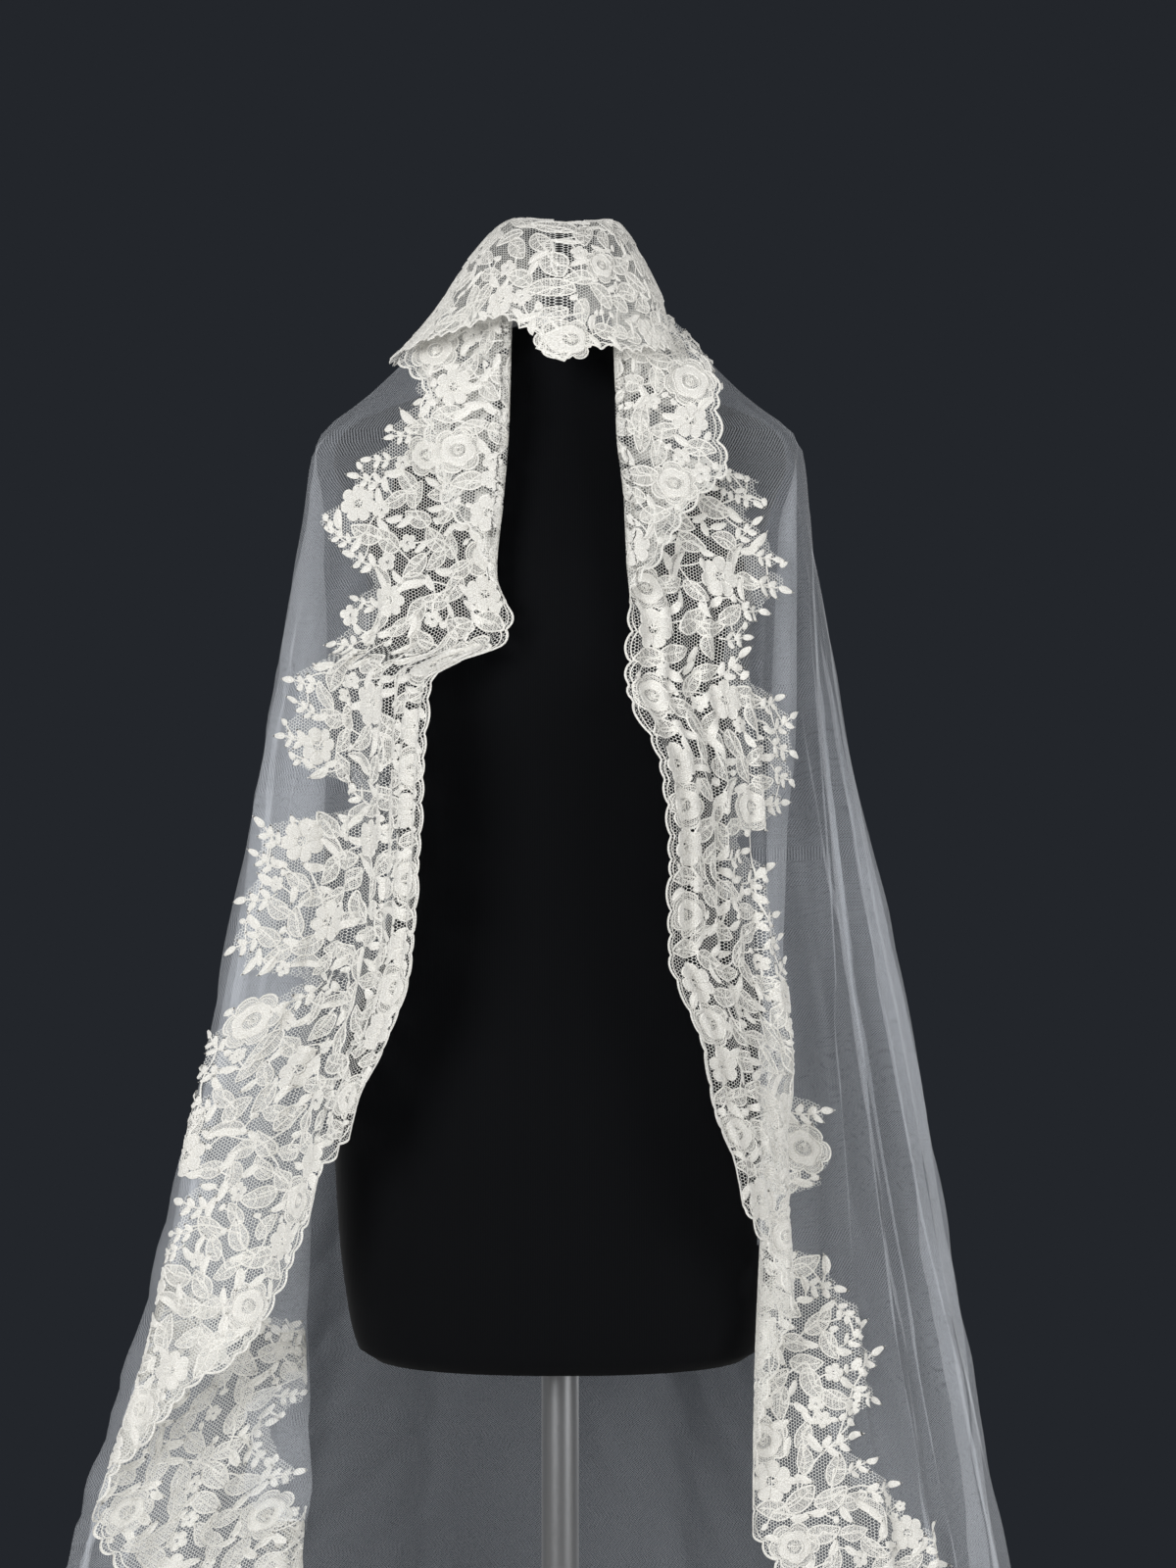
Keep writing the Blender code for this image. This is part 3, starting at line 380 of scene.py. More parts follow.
# The lapels: the hidden limit of the turned back layer, and its free edge
LEFT_FLAP = (
    ("z", "x", "y"),
    (1500, -87, -46), (1488, -96, -42), (1470, -116, -44), (1445, -130, -60), (1405, -130, -74),
    (1356, -126, -100), (1290, -120, -130),
)
RIGHT_FLAP = (
    ("z", "x", "y"),
    (1500, 78, -46), (1488, 87, -42), (1470, 104, -46), (1445, 127, -60), (1405, 131, -74),
    (1356, 126, -98), (1290, 120, -128),
)
LEFT_LAPEL_EDGE = (
    ("z", "x"),
    (1482, -92), (1468, -118), (1456, -108), (1446, -96), (1405, -94), (1390, -92), (1370, -80),
    (1349, -79), (1336, -61), (1320, -50), (1297, -45),
)
RIGHT_LAPEL_EDGE = (
    ("z", "x"),
    (1482, 85), (1468, 99), (1455, 108), (1438, 115), (1420, 112), (1400, 114), (1380, 122),
    (1366, 104), (1345, 86), (1330, 80), (1297, 53),
)
# Free edge below, where it leaves the front line and crosses the folds
LEFT_EDGE_RUN = (
    ("layer", "z", "x"),
    ("front", 879, -168), ("front", 824, -186), ("front", 787, -201), ("front", 745, -227),
    ("front", 719, -266), ("front", 682, -296), ("front", 655, -322), ("turned", 600, -334),
    ("turned", 575, -310), ("turned", 483, -280), ("turned", 372, -260), ("turned", 12, -245),
)
RIGHT_EDGE_RUN = (
    ("layer", "z", "x"),
    ("front", 853, 133), ("front", 831, 146), ("front", 809, 156), ("front", 790, 163),
    ("turned", 752, 161), ("turned", 712, 148), ("under", 600, 146), ("under", 586, 160),
    ("under", 557, 166), ("under", 483, 180), ("under", 372, 191), ("under", 12, 206),
)
# How far the lace reaches in from the free edge: its sprays come and go
LEFT_REACH = (
    ("z", "reach"),
    (1500, 110), (1450, 118), (1434, 128), (1420, 170), (1398, 148), (1388, 168), (1376, 156),
    (1356, 157), (1344, 150), (1336, 127), (1320, 121), (1288, 114), (1276, 141), (1256, 148),
    (1247, 122), (1239, 160), (1222, 149), (1208, 153), (1196, 174), (1182, 164), (1156, 152),
    (1150, 112), (1134, 104), (1127, 176), (1108, 184), (1072, 187), (1036, 193), (1011, 180),
    (1005, 113), (998, 113), (992, 178), (964, 188), (930, 176), (900, 140), (868, 118), (830, 112),
    (790, 114), (760, 150), (724, 156), (700, 146), (684, 134), (668, 100), (655, 112), (640, 132),
    (605, 120), (570, 124), (530, 148), (505, 150), (488, 110), (470, 116), (452, 158), (410, 166),
    (372, 150), (352, 104), (336, 112), (318, 156), (270, 170), (226, 148), (210, 106), (190, 150),
    (140, 168), (96, 152), (80, 112), (62, 154), (12, 160),
)
RIGHT_REACH = (
    ("z", "reach"),
    (1500, 130), (1484, 138), (1462, 152), (1446, 164), (1438, 158), (1430, 120), (1400, 122),
    (1390, 152), (1376, 142), (1362, 126), (1352, 135), (1340, 124), (1328, 132), (1308, 124),
    (1290, 116), (1280, 110), (1262, 102), (1248, 90), (1236, 94), (1228, 118), (1212, 129),
    (1196, 142), (1148, 136), (1120, 124), (1112, 100), (1106, 78), (1100, 80), (1094, 106),
    (1056, 110), (1020, 118), (990, 128), (970, 130), (940, 124), (928, 140), (920, 180),
    (896, 166), (876, 172), (860, 150), (848, 120), (838, 66), (816, 56), (806, 104), (776, 98),
    (760, 106), (716, 114), (700, 108), (688, 100), (676, 84), (664, 82), (640, 103), (616, 110),
    (584, 124), (560, 135), (532, 128), (516, 92), (498, 100), (480, 140), (436, 150), (402, 128),
    (388, 88), (370, 126), (320, 152), (282, 136), (268, 92), (250, 130), (200, 150), (160, 140),
    (146, 96), (128, 138), (70, 152), (12, 140),
)
CLOTH_TOP_Z = TULLE_TOP_Z + 0.004

# %% [markdown]
# ## Creases
#
# Cloth that hangs from the shoulders falls in soft ridges and troughs, uneven in
# length, depth and spacing. Each row here is one of them: the place along the section
# where it starts and ends, the heights between which it shows, its width as a share of
# a key's spacing, and its depth. A few long waves of uneven length are laid over them.

# %% Creases, listed one by one
CREASES = {
    "left": (
        ("start", "end", "top", "bottom", "width", "depth"),
        (12.9, 12.9, 1.3, 0.02, 0.06, 0.006), (13.6, 13.6, 1.34, 0.02, 0.055, 0.006),
        (15.7, 15.7, 1.38, 0.02, 0.06, 0.007), (16.6, 16.6, 1.3, 0.02, 0.06, 0.007),
        (5.6, 6.0, 1.3, 0.05, 0.35, 0.003), (14.3, 14.6, 1.36, 0.5, 0.3, 0.004),
        (15.3, 15.4, 1.4, 0.06, 0.42, -0.0065), (15.9, 16.3, 1.37, 0.02, 0.3, 0.006),
        (16.7, 16.9, 1.24, 0.02, 0.34, -0.006), (17.6, 17.4, 1.4, 0.3, 0.4, 0.005),
        (18.4, 18.7, 1.38, 0.02, 0.38, 0.0075), (19.6, 19.2, 1.3, 0.02, 0.45, -0.007),
        (20.8, 21.0, 1.42, 0.15, 0.36, 0.006), (22.1, 22.3, 1.35, 0.02, 0.5, 0.0085),
        (23.4, 23.2, 1.25, 0.02, 0.4, -0.006), (24.6, 24.8, 1.4, 0.3, 0.44, 0.007),
    ),
    "right": (
        ("start", "end", "top", "bottom", "width", "depth"),
        (14.0, 14.0, 1.4, 0.02, 0.075, 0.0075), (14.55, 14.55, 1.3, 0.1, 0.06, 0.005),
        (15.0, 15.0, 1.38, 0.02, 0.07, 0.0075), (16.0, 16.0, 1.36, 0.02, 0.065, 0.0075),
        (16.5, 16.5, 1.2, 0.02, 0.05, 0.0045), (5.6, 5.9, 1.28, 0.05, 0.35, 0.0028),
        (14.5, 14.4, 1.34, 0.12, 0.3, 0.005), (15.5, 15.7, 1.38, 0.02, 0.34, -0.0055),
        (16.5, 16.4, 1.33, 0.02, 0.28, 0.0058), (17.1, 17.3, 1.39, 0.2, 0.3, -0.0045),
        (18.3, 18.4, 1.4, 0.02, 0.36, 0.007), (19.1, 19.4, 1.3, 0.02, 0.4, -0.006),
        (20.3, 20.1, 1.42, 0.06, 0.36, 0.0065), (21.5, 21.8, 1.38, 0.02, 0.46, -0.008),
        (22.9, 22.8, 1.27, 0.02, 0.42, 0.007), (24.2, 24.5, 1.4, 0.18, 0.4, 0.006),
        (26.3, 26.1, 1.33, 0.02, 0.44, -0.0065),
    ),
}
GATHERS = (  # small upright ridges beside the free edge, over the bust and waist
    ("length", "height_drift", "depth", "phase"),
    (0.0190, 0.5, 0.0016, 0.7),
    (0.0125, -0.7, 0.0011, 2.2),
    (0.0310, 0.9, 0.0012, 4.0),
)
GATHERS_START, GATHERS_END = (2.8, 3.4), (6.4, 5.0)  # along a section, in its keys
RIPPLE_GROWTH = (1.42, 0.9)  # heights between which the ripples grow to their full depth
GATHERED = (1.34, 1.27, 0.90, 0.78)  # heights where the gathers begin, are full, fade and end
RIPPLES = (
    ("length", "height_drift", "depth", "phase"),
    (0.061, 0.9, 0.0016, 0.3),
    (0.037, -1.4, 0.0010, 1.9),
    (0.023, 2.1, 0.0006, 4.2),
    (0.0135, -0.8, 0.0004, 2.7),
)

# %% Smooth lines and rings
LEVEL = 0.004  # between two sections of the map
MAP_STEP = 0.0015  # along a section
MAP_START = -0.13
MAP_LENGTH = 1.75
KEY_STEP = 1 / 32  # between two points of a section, in its keys
NOTHING = 1e-9  # lengths below this count as none


def rows_of(table):
    """The rows of a table under its header, as an array of numbers."""
    return np.array(table[1:], float)


def metres(table):
    """The rows of a table in millimetres, as an array in metres."""
    return rows_of(table) / 1000


def soft_step(low, high, value):
    """0 below low, 1 above high, and a smooth run between."""
    part = np.clip((value - low) / (high - low), 0.0, 1.0)
    return part * part * (3 - 2 * part)


def unit(vectors):
    """Vectors of length 1, row by row."""
    lengths = np.linalg.norm(vectors, axis=-1)
    return vectors / np.maximum(lengths, NOTHING)[..., None]


def run_along(points, axis=0):
    """The length along lines of points, from 0 at their start."""
    steps = np.linalg.norm(np.diff(points, axis=axis), axis=-1)
    start = np.zeros_like(np.take(steps, [0], axis=axis))
    return np.concatenate([start, np.cumsum(steps, axis=axis)], axis=axis)


def smooth_steps(at, known, values):
    """Monotone cubic through the rows, so that a line never swings past its points."""
    order = np.argsort(known)
    known, values = known[order], values[order]
    gap = np.diff(known)
    slope = np.diff(values) / gap
    tangent = np.zeros(len(known))
    tangent[0], tangent[-1] = slope[0], slope[-1]
    same = slope[:-1] * slope[1:] > 0
    both = np.where(same, slope[:-1] + slope[1:], 1.0)
    tangent[1:-1] = np.where(same, 2.0 * slope[:-1] * slope[1:] / both, 0.0)
    at = np.clip(at, known[0], known[-1])
    cell = np.clip(np.searchsorted(known, at, side="right") - 1, 0, len(gap) - 1)
    f = (at - known[cell]) / gap[cell]
    start, end = values[cell], values[cell + 1]
    rise, fall = tangent[cell] * gap[cell], tangent[cell + 1] * gap[cell]
    return (
        start * (1 + 2 * f) * (1 - f) ** 2
        + rise * f * (1 - f) ** 2
        + end * f * f * (3 - 2 * f)
        + fall * f * f * (f - 1)
    )


def columns_at(rows, at):
    """Every column of an array of rows after the first, where the first is at a value."""
    return [smooth_steps(at, rows[:, 0], column) for column in rows.T[1:]]


def hood_point(z, angle, side):
    """A point of the hood: the angle in degrees runs from the front round a side."""
    left_width, right_width, front, back = columns_at(metres(HOOD), z)
    turn = math.radians(angle)
    x = side * (left_width if side < 0 else right_width) * abs(math.sin(turn))
    y = abs(math.cos(turn))
    return np.array((x, -front * y if math.cos(turn) > 0 else back * y))


def rounded_square(turns, squareness):
    """Sine and cosine of turns, pushed out from a circle towards a square."""
    power = 2.0 / squareness
    return [np.sign(wave) * np.abs(wave) ** power for wave in (np.sin(turns), np.cos(turns))]


def opened(z):
    """How far the turn at the opening has opened out: 0 at the lapels, 1 below them."""
    return 1.0 - soft_step(FLAP_END_Z - FLAP_FADE, FLAP_END_Z, z)


def edge_place(z):
    """Where the front line of the cloth lies in a section's keys."""
    return 2.5 + 0.5 * opened(z)


def section_points(keys, p):
    """A quadratic B-spline on the keys, which passes near key k at p = k."""
    padded = np.vstack([2 * keys[0] - keys[1], keys, 2 * keys[-1] - keys[-2]])
    nearest = np.clip(np.floor(p + 0.5).astype(int), 0, len(keys) - 1)
    f = (p + 0.5 - nearest)[:, None]
    before, here, after = padded[nearest], padded[nearest + 1], padded[nearest + 2]
    start, end = (before + here) / 2, (here + after) / 2
    return (1 - f) ** 2 * start + 2 * f * (1 - f) * here + f**2 * end


def turned(before, here, after, gap):
    """Four keys that take the cloth round a fold, less deep where its layers are short."""
    shortest = min(np.linalg.norm(before - here), np.linalg.norm(after - here))
    half = np.array((0.0, min(gap, GAP_SHARE * shortest)))
    keys = []
    for mate, corner in ((before, here - half), (after, here + half)):
        span = mate - corner
        length = np.linalg.norm(span)
        keys.append((corner, corner + span * min(TURN_REACH, REACH_SHARE * length) / length))
    return [keys[0][1], keys[0][0], keys[1][0], keys[1][1]]


# %% [markdown]
# ## A map from the flat cloth to the hanging one
#
# Lace is made flat and then hung, and this model does the same. A place on the flat
# cloth is a length along the section, measured from the front line, and a height. The
# map below holds the hanging cloth's points on a fine grid of such places, so one
# lookup carries thousands of flat points to their places on the folds.

# %% The map
class Half:
    """One half of the hanging cloth, as a grid over lengths and heights."""

    def __init__(self, name, side, lines, angles, flap):
        self.side = side
        self.names = list(lines)
        self.lines = {key: self.with_hood(metres(lines[key]), angles.get(key)) for key in lines}
        self.flap = metres(flap)
        self.z = np.arange(HEM_Z, CLOTH_TOP_Z + LEVEL / 2, LEVEL)
        sections = [self.keys(z) for z in self.z]
        self.p = np.arange(0.0, len(sections[0]) - 1 + 0.01, KEY_STEP)
        self.last = self.p[-1]
        plane = np.array([section_points(keys, self.p) for keys in sections])
        run = run_along(plane, axis=1)
        start = np.array([np.interp(edge_place(z), self.p, row) for z, row in zip(self.z, run)])
        self.q = run - start[:, None]
        self.x = plane[:, :, 0].copy()
        along = unit(np.gradient(plane, axis=1))
        out = side * np.stack([along[:, :, 1], -along[:, :, 0]], axis=2)
        plane += out * self.relief(rows_of(CREASES[name]))[:, :, None]
        lengths = MAP_START + np.arange(int(MAP_LENGTH / MAP_STEP)) * MAP_STEP
        grid = np.empty((len(self.z), len(lengths), 3))
        for row, z in enumerate(self.z):
            reach = np.clip(lengths, self.q[row, 0], self.q[row, -1])
            for k in (0, 1):
                grid[row, :, k] = np.interp(reach, self.q[row], plane[row, :, k])
            grid[row, :, 2] = z
        self.grid = grid
        across, up = np.gradient(grid, axis=1), np.gradient(grid, axis=0)
        normal = np.cross(across, up) * side
        size = np.linalg.norm(normal, axis=2)
        normal[size < NOTHING] = (0.0, -1.0, 0.0)
        self.normals = normal / np.maximum(size, NOTHING)[:, :, None]

    def with_hood(self, rows, angle):
        """A line's rows with those of the hood above them, unless it has its own."""
        if angle is None:
            return rows
        top = [(z, *hood_point(z, angle, self.side)) for z in HOOD_LEVELS]
        return np.array(top + rows.tolist())

    def on_line(self, name, z):
        """Where a line passes through a level."""
        return np.array(columns_at(self.lines[name], z))

    def keys(self, z):
        """The points that one section follows, from its free end to the centre back."""
        edge, bend = self.on_line("edge", z), self.on_line("bend", z)
        out = unit(edge - bend)
        open_keys = [edge + out * reach for reach in OPEN_REACHES]
        part = opened(z)
        turned_keys = self.lapel_keys(z, edge, bend)
        keys = [(1 - part) * a + part * b for a, b in zip(turned_keys, open_keys)] + [bend]
        self.at = {"bend": len(keys) - 1.0}
        inner = [name for name in self.names if name not in ("edge", "bend", "side")]
        side = self.on_line("side", z)
        stops = [bend] + [self.on_line(name, z) for name in inner] + [side]
        for index, name in enumerate(inner):
            before, here, after = stops[index], stops[index + 1], stops[index + 2]
            if name.startswith("fold"):
                self.at[name] = len(keys) + 1.5
                keys += turned(before, here, after, TURN_GAP)
            else:
                self.at[name] = float(len(keys))
                keys += [here]
        self.at["side"] = len(keys) + 0.5
        half_turn = np.array((0.0, SIDE_TURN))
        keys += [side - half_turn, side + half_turn]
        return np.array(keys + self.back_keys(z, side + half_turn))

    def lapel_keys(self, z, edge, bend):
        """The turned back layer, and its round turn at the opening."""
        lapel = np.array(columns_at(self.flap, z))
        front = edge - np.array((0.0, 2 * TURN_GAP + 0.001))
        before = front + unit(lapel - front) * TURN_REACH
        return [lapel, before, front, edge, edge + unit(bend - edge) * TURN_REACH]

    def back_keys(self, z, start):
        """Soft pleats on a quarter oval from the silhouette to the centre back."""
        hood = [(level, hood_point(level, 180, self.side)[1]) for level in HOOD_LEVELS]
        (middle,) = columns_at(np.array(hood + metres(BACK_CENTRE).tolist()), z)
        (depth,) = columns_at(rows_of(PLEAT_DEPTH), z)
        count = 2 * BACK_PLEATS
        keys = []
        for step in range(1, count + 1):
            turn = math.pi / 2 * step / count
            reach = np.array((start[0] * math.cos(turn), (middle - start[1]) * math.sin(turn)))
            sign = 0.0 if step == count else (-1.0) ** step
            out = reach / max(np.linalg.norm(reach), 1e-6)
            keys.append(np.array((0.0, start[1])) + reach + out * sign * depth / 2)
        keys[-1][0] = 0.0
        return keys

    def relief(self, creases):
        """How far the creases and ripples stand out, at each height and place."""
        z, p = self.z[:, None], self.p[None, :]
        total = np.zeros((len(self.z), len(self.p)))
        for start, end, top, bottom, width, depth in creases:
            way = np.clip((top - z) / (top - bottom), 0.0, 1.0)
            middle = start + (end - start) * way
            grows = soft_step(0.0, 0.25, way) * (1 - 0.5 * soft_step(0.85, 1.0, way))
            total += depth * grows * np.exp(-(((p - middle) / width) ** 2))
        fall = soft_step(*RIPPLE_GROWTH, z)
        for length, drift, depth, phase in rows_of(RIPPLES):
            wave = np.sin(2 * np.pi * self.q / length + drift * z * 4 + phase)
            total += depth * (0.35 + 0.65 * fall) * wave
        begin, full, fade, end = GATHERED
        gathered = soft_step(begin, full, z) * soft_step(end, fade, z)
        beside_edge = soft_step(*GATHERS_START, p) * soft_step(*GATHERS_END, p)
        for length, drift, depth, phase in rows_of(GATHERS):
            wave = np.sin(2 * np.pi * self.q / length + drift * z * 9 + phase)
            total += depth * gathered * beside_edge * wave
        at_back = 1 - soft_step(self.last - 1.0, self.last, p)
        return total * at_back

    def row_of(self, z):
        """The row of the map that lies nearest to a level."""
        return int(np.clip(round((z - self.z[0]) / LEVEL), 0, len(self.z) - 1))

    def q_of_x(self, z, x, first, last):
        """The length along the section where it crosses x, between two places in its keys."""
        row = self.row_of(z)
        p = np.linspace(first, last, 400)
        q, xs = (np.interp(p, self.p, values[row]) for values in (self.q, self.x))
        return float(q[int(np.argmin(np.abs(xs - x)))])

    def hang(self, flat, rise):
        """Flat places (length, height), raised off the cloth, carried to the hanging cloth."""
        across = np.clip((flat[:, 0] - MAP_START) / MAP_STEP, 0, self.grid.shape[1] - 1.001)
        level = np.clip((flat[:, 1] - self.z[0]) / LEVEL, 0, len(self.z) - 1.001)
        a, b = across.astype(int), level.astype(int)
        fa, fb = (across - a)[:, None], (level - b)[:, None]
        found = []
        for table in (self.grid, self.normals):
            low = table[b, a] * (1 - fa) + table[b, a + 1] * fa
            high = table[b + 1, a] * (1 - fa) + table[b + 1, a + 1] * fa
            found.append(low * (1 - fb) + high * fb)
        points, out = found
        return points + unit(out) * (rise * self.facing(flat))[:, None]

    def facing(self, flat):
        """1 where the cloth's outer side shows, and -1 on a turned back lapel."""
        turned_back = soft_step(*LAPEL_BACK, flat[:, 0]) * (1 - opened(flat[:, 1]))
        return 1 - 2 * turned_back


left = Half("left", -1, LEFT, LEFT_HOOD_ANGLES, LEFT_FLAP)
right = Half("right", 1, RIGHT, RIGHT_HOOD_ANGLES, RIGHT_FLAP)
print("sections:", len(left.z), "| width at the hem in m:", round(left.q[0, -1] + right.q[0, -1], 2))


# %% Meshes from flat places
def placed_in_scene(name, data):
    """An object in the scene."""
    made = bpy.data.objects.new(name, data)
    bpy.context.scene.collection.objects.link(made)
    return made


def set_values(mesh, name, kind, values):
    """One value at every point of a mesh."""
    mesh.attributes.new(name, kind, "POINT").data.foreach_set("value", values)


def mesh_object(name, points, faces, uv, material, open_fill=None):
    """A smooth mesh with its flat map in metres, in the scene."""
    mesh = bpy.data.meshes.new(name)
    mesh.from_pydata(points.tolist(), [], faces.tolist() if hasattr(faces, "tolist") else faces)
    corners = np.empty(len(mesh.loops), np.int32)
    mesh.loops.foreach_get("vertex_index", corners)
    layer = mesh.uv_layers.new(name="flat")
    layer.data.foreach_set("uv", np.asarray(uv, np.float32)[corners].ravel())
    if open_fill is not None:
        set_values(mesh, "open_fill", "FLOAT", np.asarray(open_fill, np.float32))
    mesh.materials.append(material)
    mesh.shade_smooth()
    return placed_in_scene(name, mesh)


def area_of(piece):
    """The area of a mesh's faces, in square metres."""
    return sum(face.area for face in piece.data.polygons)


def grid_faces(rows, columns):
    """Quads between neighbouring rows and columns of a grid."""
    corner = (np.arange(rows - 1)[:, None] * columns + np.arange(columns - 1)[None, :]).ravel()
    return np.column_stack([corner, corner + 1, corner + columns + 1, corner + columns])


# %% [markdown]
# ## The free edge and the band of lace
#
# The free edge starts beside the crown, runs down the turned back lapel, meets the
# front line, and lower down swings back across the folds, because the veil is cut
# round. The lace reaches in from it as far as its sprays do, which comes and goes.

# %% Paths along the free edge
BAND_TOP_Z = 1.500
BAND_LEVEL = 0.002  # between two levels of a band
EDGE_PASSES, STRETCH_PASSES = 12, 60  # of smoothing
STEEPEST = 1.2  # slope of the free edge, above which the band widens no more


def level_rows(top, bottom, spacing):
    """Levels from top to bottom, evenly spaced at about the spacing."""
    return np.linspace(top, bottom, max(2, int(round(abs(top - bottom) / spacing)) + 1))


def free_edge(half, lapel_table, run_table):
    """The free edge in flat places, from the crown to the hem."""
    rows = metres(lapel_table)
    run = [(layer, z / 1000, x / 1000) for layer, z, x in run_table[1:]]
    levels = level_rows(rows[0, 0], FLAP_END_Z + 0.001, 0.008)
    (xs,) = columns_at(rows, levels)
    path = [(half.q_of_x(z, x, 0.0, 2.4), z) for z, x in zip(levels, xs)]
    path += [(0.0, z) for z in level_rows(FLAP_END_Z - 0.01, run[0][1] + 0.03, 0.02)]
    spans = {
        "front": (3.0, half.at["fold_out"]),
        "turned": (half.at["fold_out"], half.at["fold_in"]),
        "under": (half.at["fold_in"], half.at["side"]),
    }
    path += [(half.q_of_x(z, x, *spans[layer]), z) for layer, z, x in run]
    return np.array(path)


def evened(values):
    """Rounds off values in place: each takes half of its own and a quarter of its mates."""
    values[1:-1] = (values[:-2] + 2 * values[1:-1] + values[2:]) / 4


class Band:
    """The lace along one half's free edge: its edge and its width at each height."""

    def __init__(self, reach, path):
        self.reach = metres(reach)
        self.top, self.bottom = BAND_TOP_Z, HEM_Z
        self.levels = level_rows(self.top, self.bottom, BAND_LEVEL)
        self.edge = np.interp(-self.levels, -path[:, 1], path[:, 0])
        for _ in range(EDGE_PASSES):
            evened(self.edge)
        slope = np.gradient(self.edge, self.levels)
        self.stretch = np.sqrt(1.0 + np.minimum(slope, STEEPEST) ** 2)
        for _ in range(STRETCH_PASSES):
            self.stretch[1:-1] = (self.stretch[:-2] + self.stretch[1:-1] + self.stretch[2:]) / 3

    def flat(self, inward, z):
        """The flat place at a distance inward from the free edge, at a height."""
        edge = np.interp(-z, -self.levels, self.edge)
        return np.column_stack([edge + inward * np.interp(-z, -self.levels, self.stretch), z])

    def limit(self, z):
        """How far inward the lace reaches at a height."""
        return np.interp(-np.asarray(z), -self.reach[:, 0], self.reach[:, 1])

    def room(self, z, reach):
        """How far inward a motif may lie, so that it stays on the lace all round."""
        heights = z + reach * np.array((-0.85, -0.4, 0.0, 0.4, 0.85))
        spans = reach * np.array((0.5, 0.85, 0.95, 0.85, 0.5))
        return float((self.limit(heights) - spans).min())


left_band = Band(LEFT_REACH, free_edge(left, LEFT_LAPEL_EDGE, LEFT_EDGE_RUN))
right_band = Band(RIGHT_REACH, free_edge(right, RIGHT_LAPEL_EDGE, RIGHT_EDGE_RUN))
print("bands:", len(left_band.levels), "levels each")

# %% [markdown]
# ## Lace motifs
#
# Corded lace is drawn with a thick thread round every petal and leaf. Inside, a petal
# is filled with flat satin stitch, and a leaf or a rose with open net. Each motif is
# made once, flat, in millimetres, pointing up. A cord is a low ridge with three
# corners, so that hundreds of copies stay light.

# %% A small kit for stitched shapes
MM = 0.001


class Stitches:
    """The points and faces of a flat motif, with how open its filling is."""

    def __init__(self):
        self.points, self.faces, self.fill = [], [], []

    def strip(self, lines, heights, fill, closed):
        """Faces between lines of equal length, one beside the other, each at its height."""
        first, count = len(self.points), len(lines[0])
        for line, height in zip(lines, heights):
            self.points += [(x, y, height) for x, y in line]
            self.fill += [fill] * count
        steps = count if closed else count - 1
        for low in range(first, first + (len(lines) - 1) * count, count):
            for k in range(steps):
                after = (k + 1) % count
                self.faces.append((low + k, low + after, low + count + after, low + count + k))

    def cord(self, line, width, rise, closed=False, base=0.25):
        """A thick thread along a flat line."""
        line = np.array(line, float)
        if closed:
            ahead = np.roll(line, -1, axis=0) - np.roll(line, 1, axis=0)
        else:
            ahead = np.gradient(line, axis=0)
        ahead = unit(ahead)
        aside = np.column_stack([-ahead[:, 1], ahead[:, 0]]) * width / 2
        self.strip((line - aside, line, line + aside), (base, rise, base), 0.0, closed)

    def petal_ring(self, inner, outer, rise, fill):
        """A filled ring between two closed flat lines, raised along its middle."""
        self.strip((outer, inner * 0.45 + outer * 0.55, inner), (0.35, rise, 0.35), fill, True)

    def leaf_fill(self, right, left, rise, fill):
        """A filling between the two sides of a leaf, raised along the midrib."""
        self.strip((right, (right + left) / 2, left), (0.3, rise, 0.3), fill, False)


def right_of(line):
    """The directions at right angles to a flat line, on its right side."""
    ahead = unit(np.gradient(line, axis=0))
    return np.column_stack([ahead[:, 1], -ahead[:, 0]])


def lobed(radius, lobes, depth, count, stretch=1.0, turn=0.0):
    """A closed line of round lobes, anticlockwise."""
    t = np.linspace(0, 2 * np.pi, count, endpoint=False)
    r = radius * (1 - depth + depth * np.abs(np.sin(lobes * (t + turn) / 2)) ** 0.6)
    return np.column_stack([r * np.cos(t) * stretch, r * np.sin(t)])


def leaf_sides(length, width, bow, count, base=(0.0, 0.0), turn=0.0, tip=0.8):
    """The right side, left side and midrib of a leaf that points up from its base."""
    t = np.linspace(0, 1, count)
    half_width = width / 2 * np.sin(np.pi * t**tip) ** 0.8
    rib = np.column_stack([bow * np.sin(np.pi * t), length * t])
    aside = right_of(rib)
    c, s = math.cos(turn), math.sin(turn)
    turned_by = np.array([[c, s], [-s, c]])
    lines = (rib + aside * half_width[:, None], rib - aside * half_width[:, None], rib)
    return [line @ turned_by + np.array(base) for line in lines]


# %% Flowers
def bloom():
    """A full round flower of satin petals with an open centre."""
    work = Stitches()
    outer, inner = lobed(15, 7, 0.26, 42), lobed(3.8, 7, 0.1, 42)
    work.petal_ring(inner, outer, 1.2, 0.15)
    work.cord(outer * 0.97, 1.3, 1.4, True)
    work.cord(inner[::2] * 1.05, 1.0, 1.5, True)
    for k in range(7):
        t = 2 * np.pi * k / 7
        ray = np.array((math.cos(t), math.sin(t)))
        work.cord([ray * 4.6, ray * 7.5, ray * 10.6], 0.7, 1.7, base=0.9)
        cross = np.array((math.cos(t + 0.4), math.sin(t + 0.4)))
        work.cord([cross * 0.8, cross * 3.6], 0.7, 0.7)
    return work


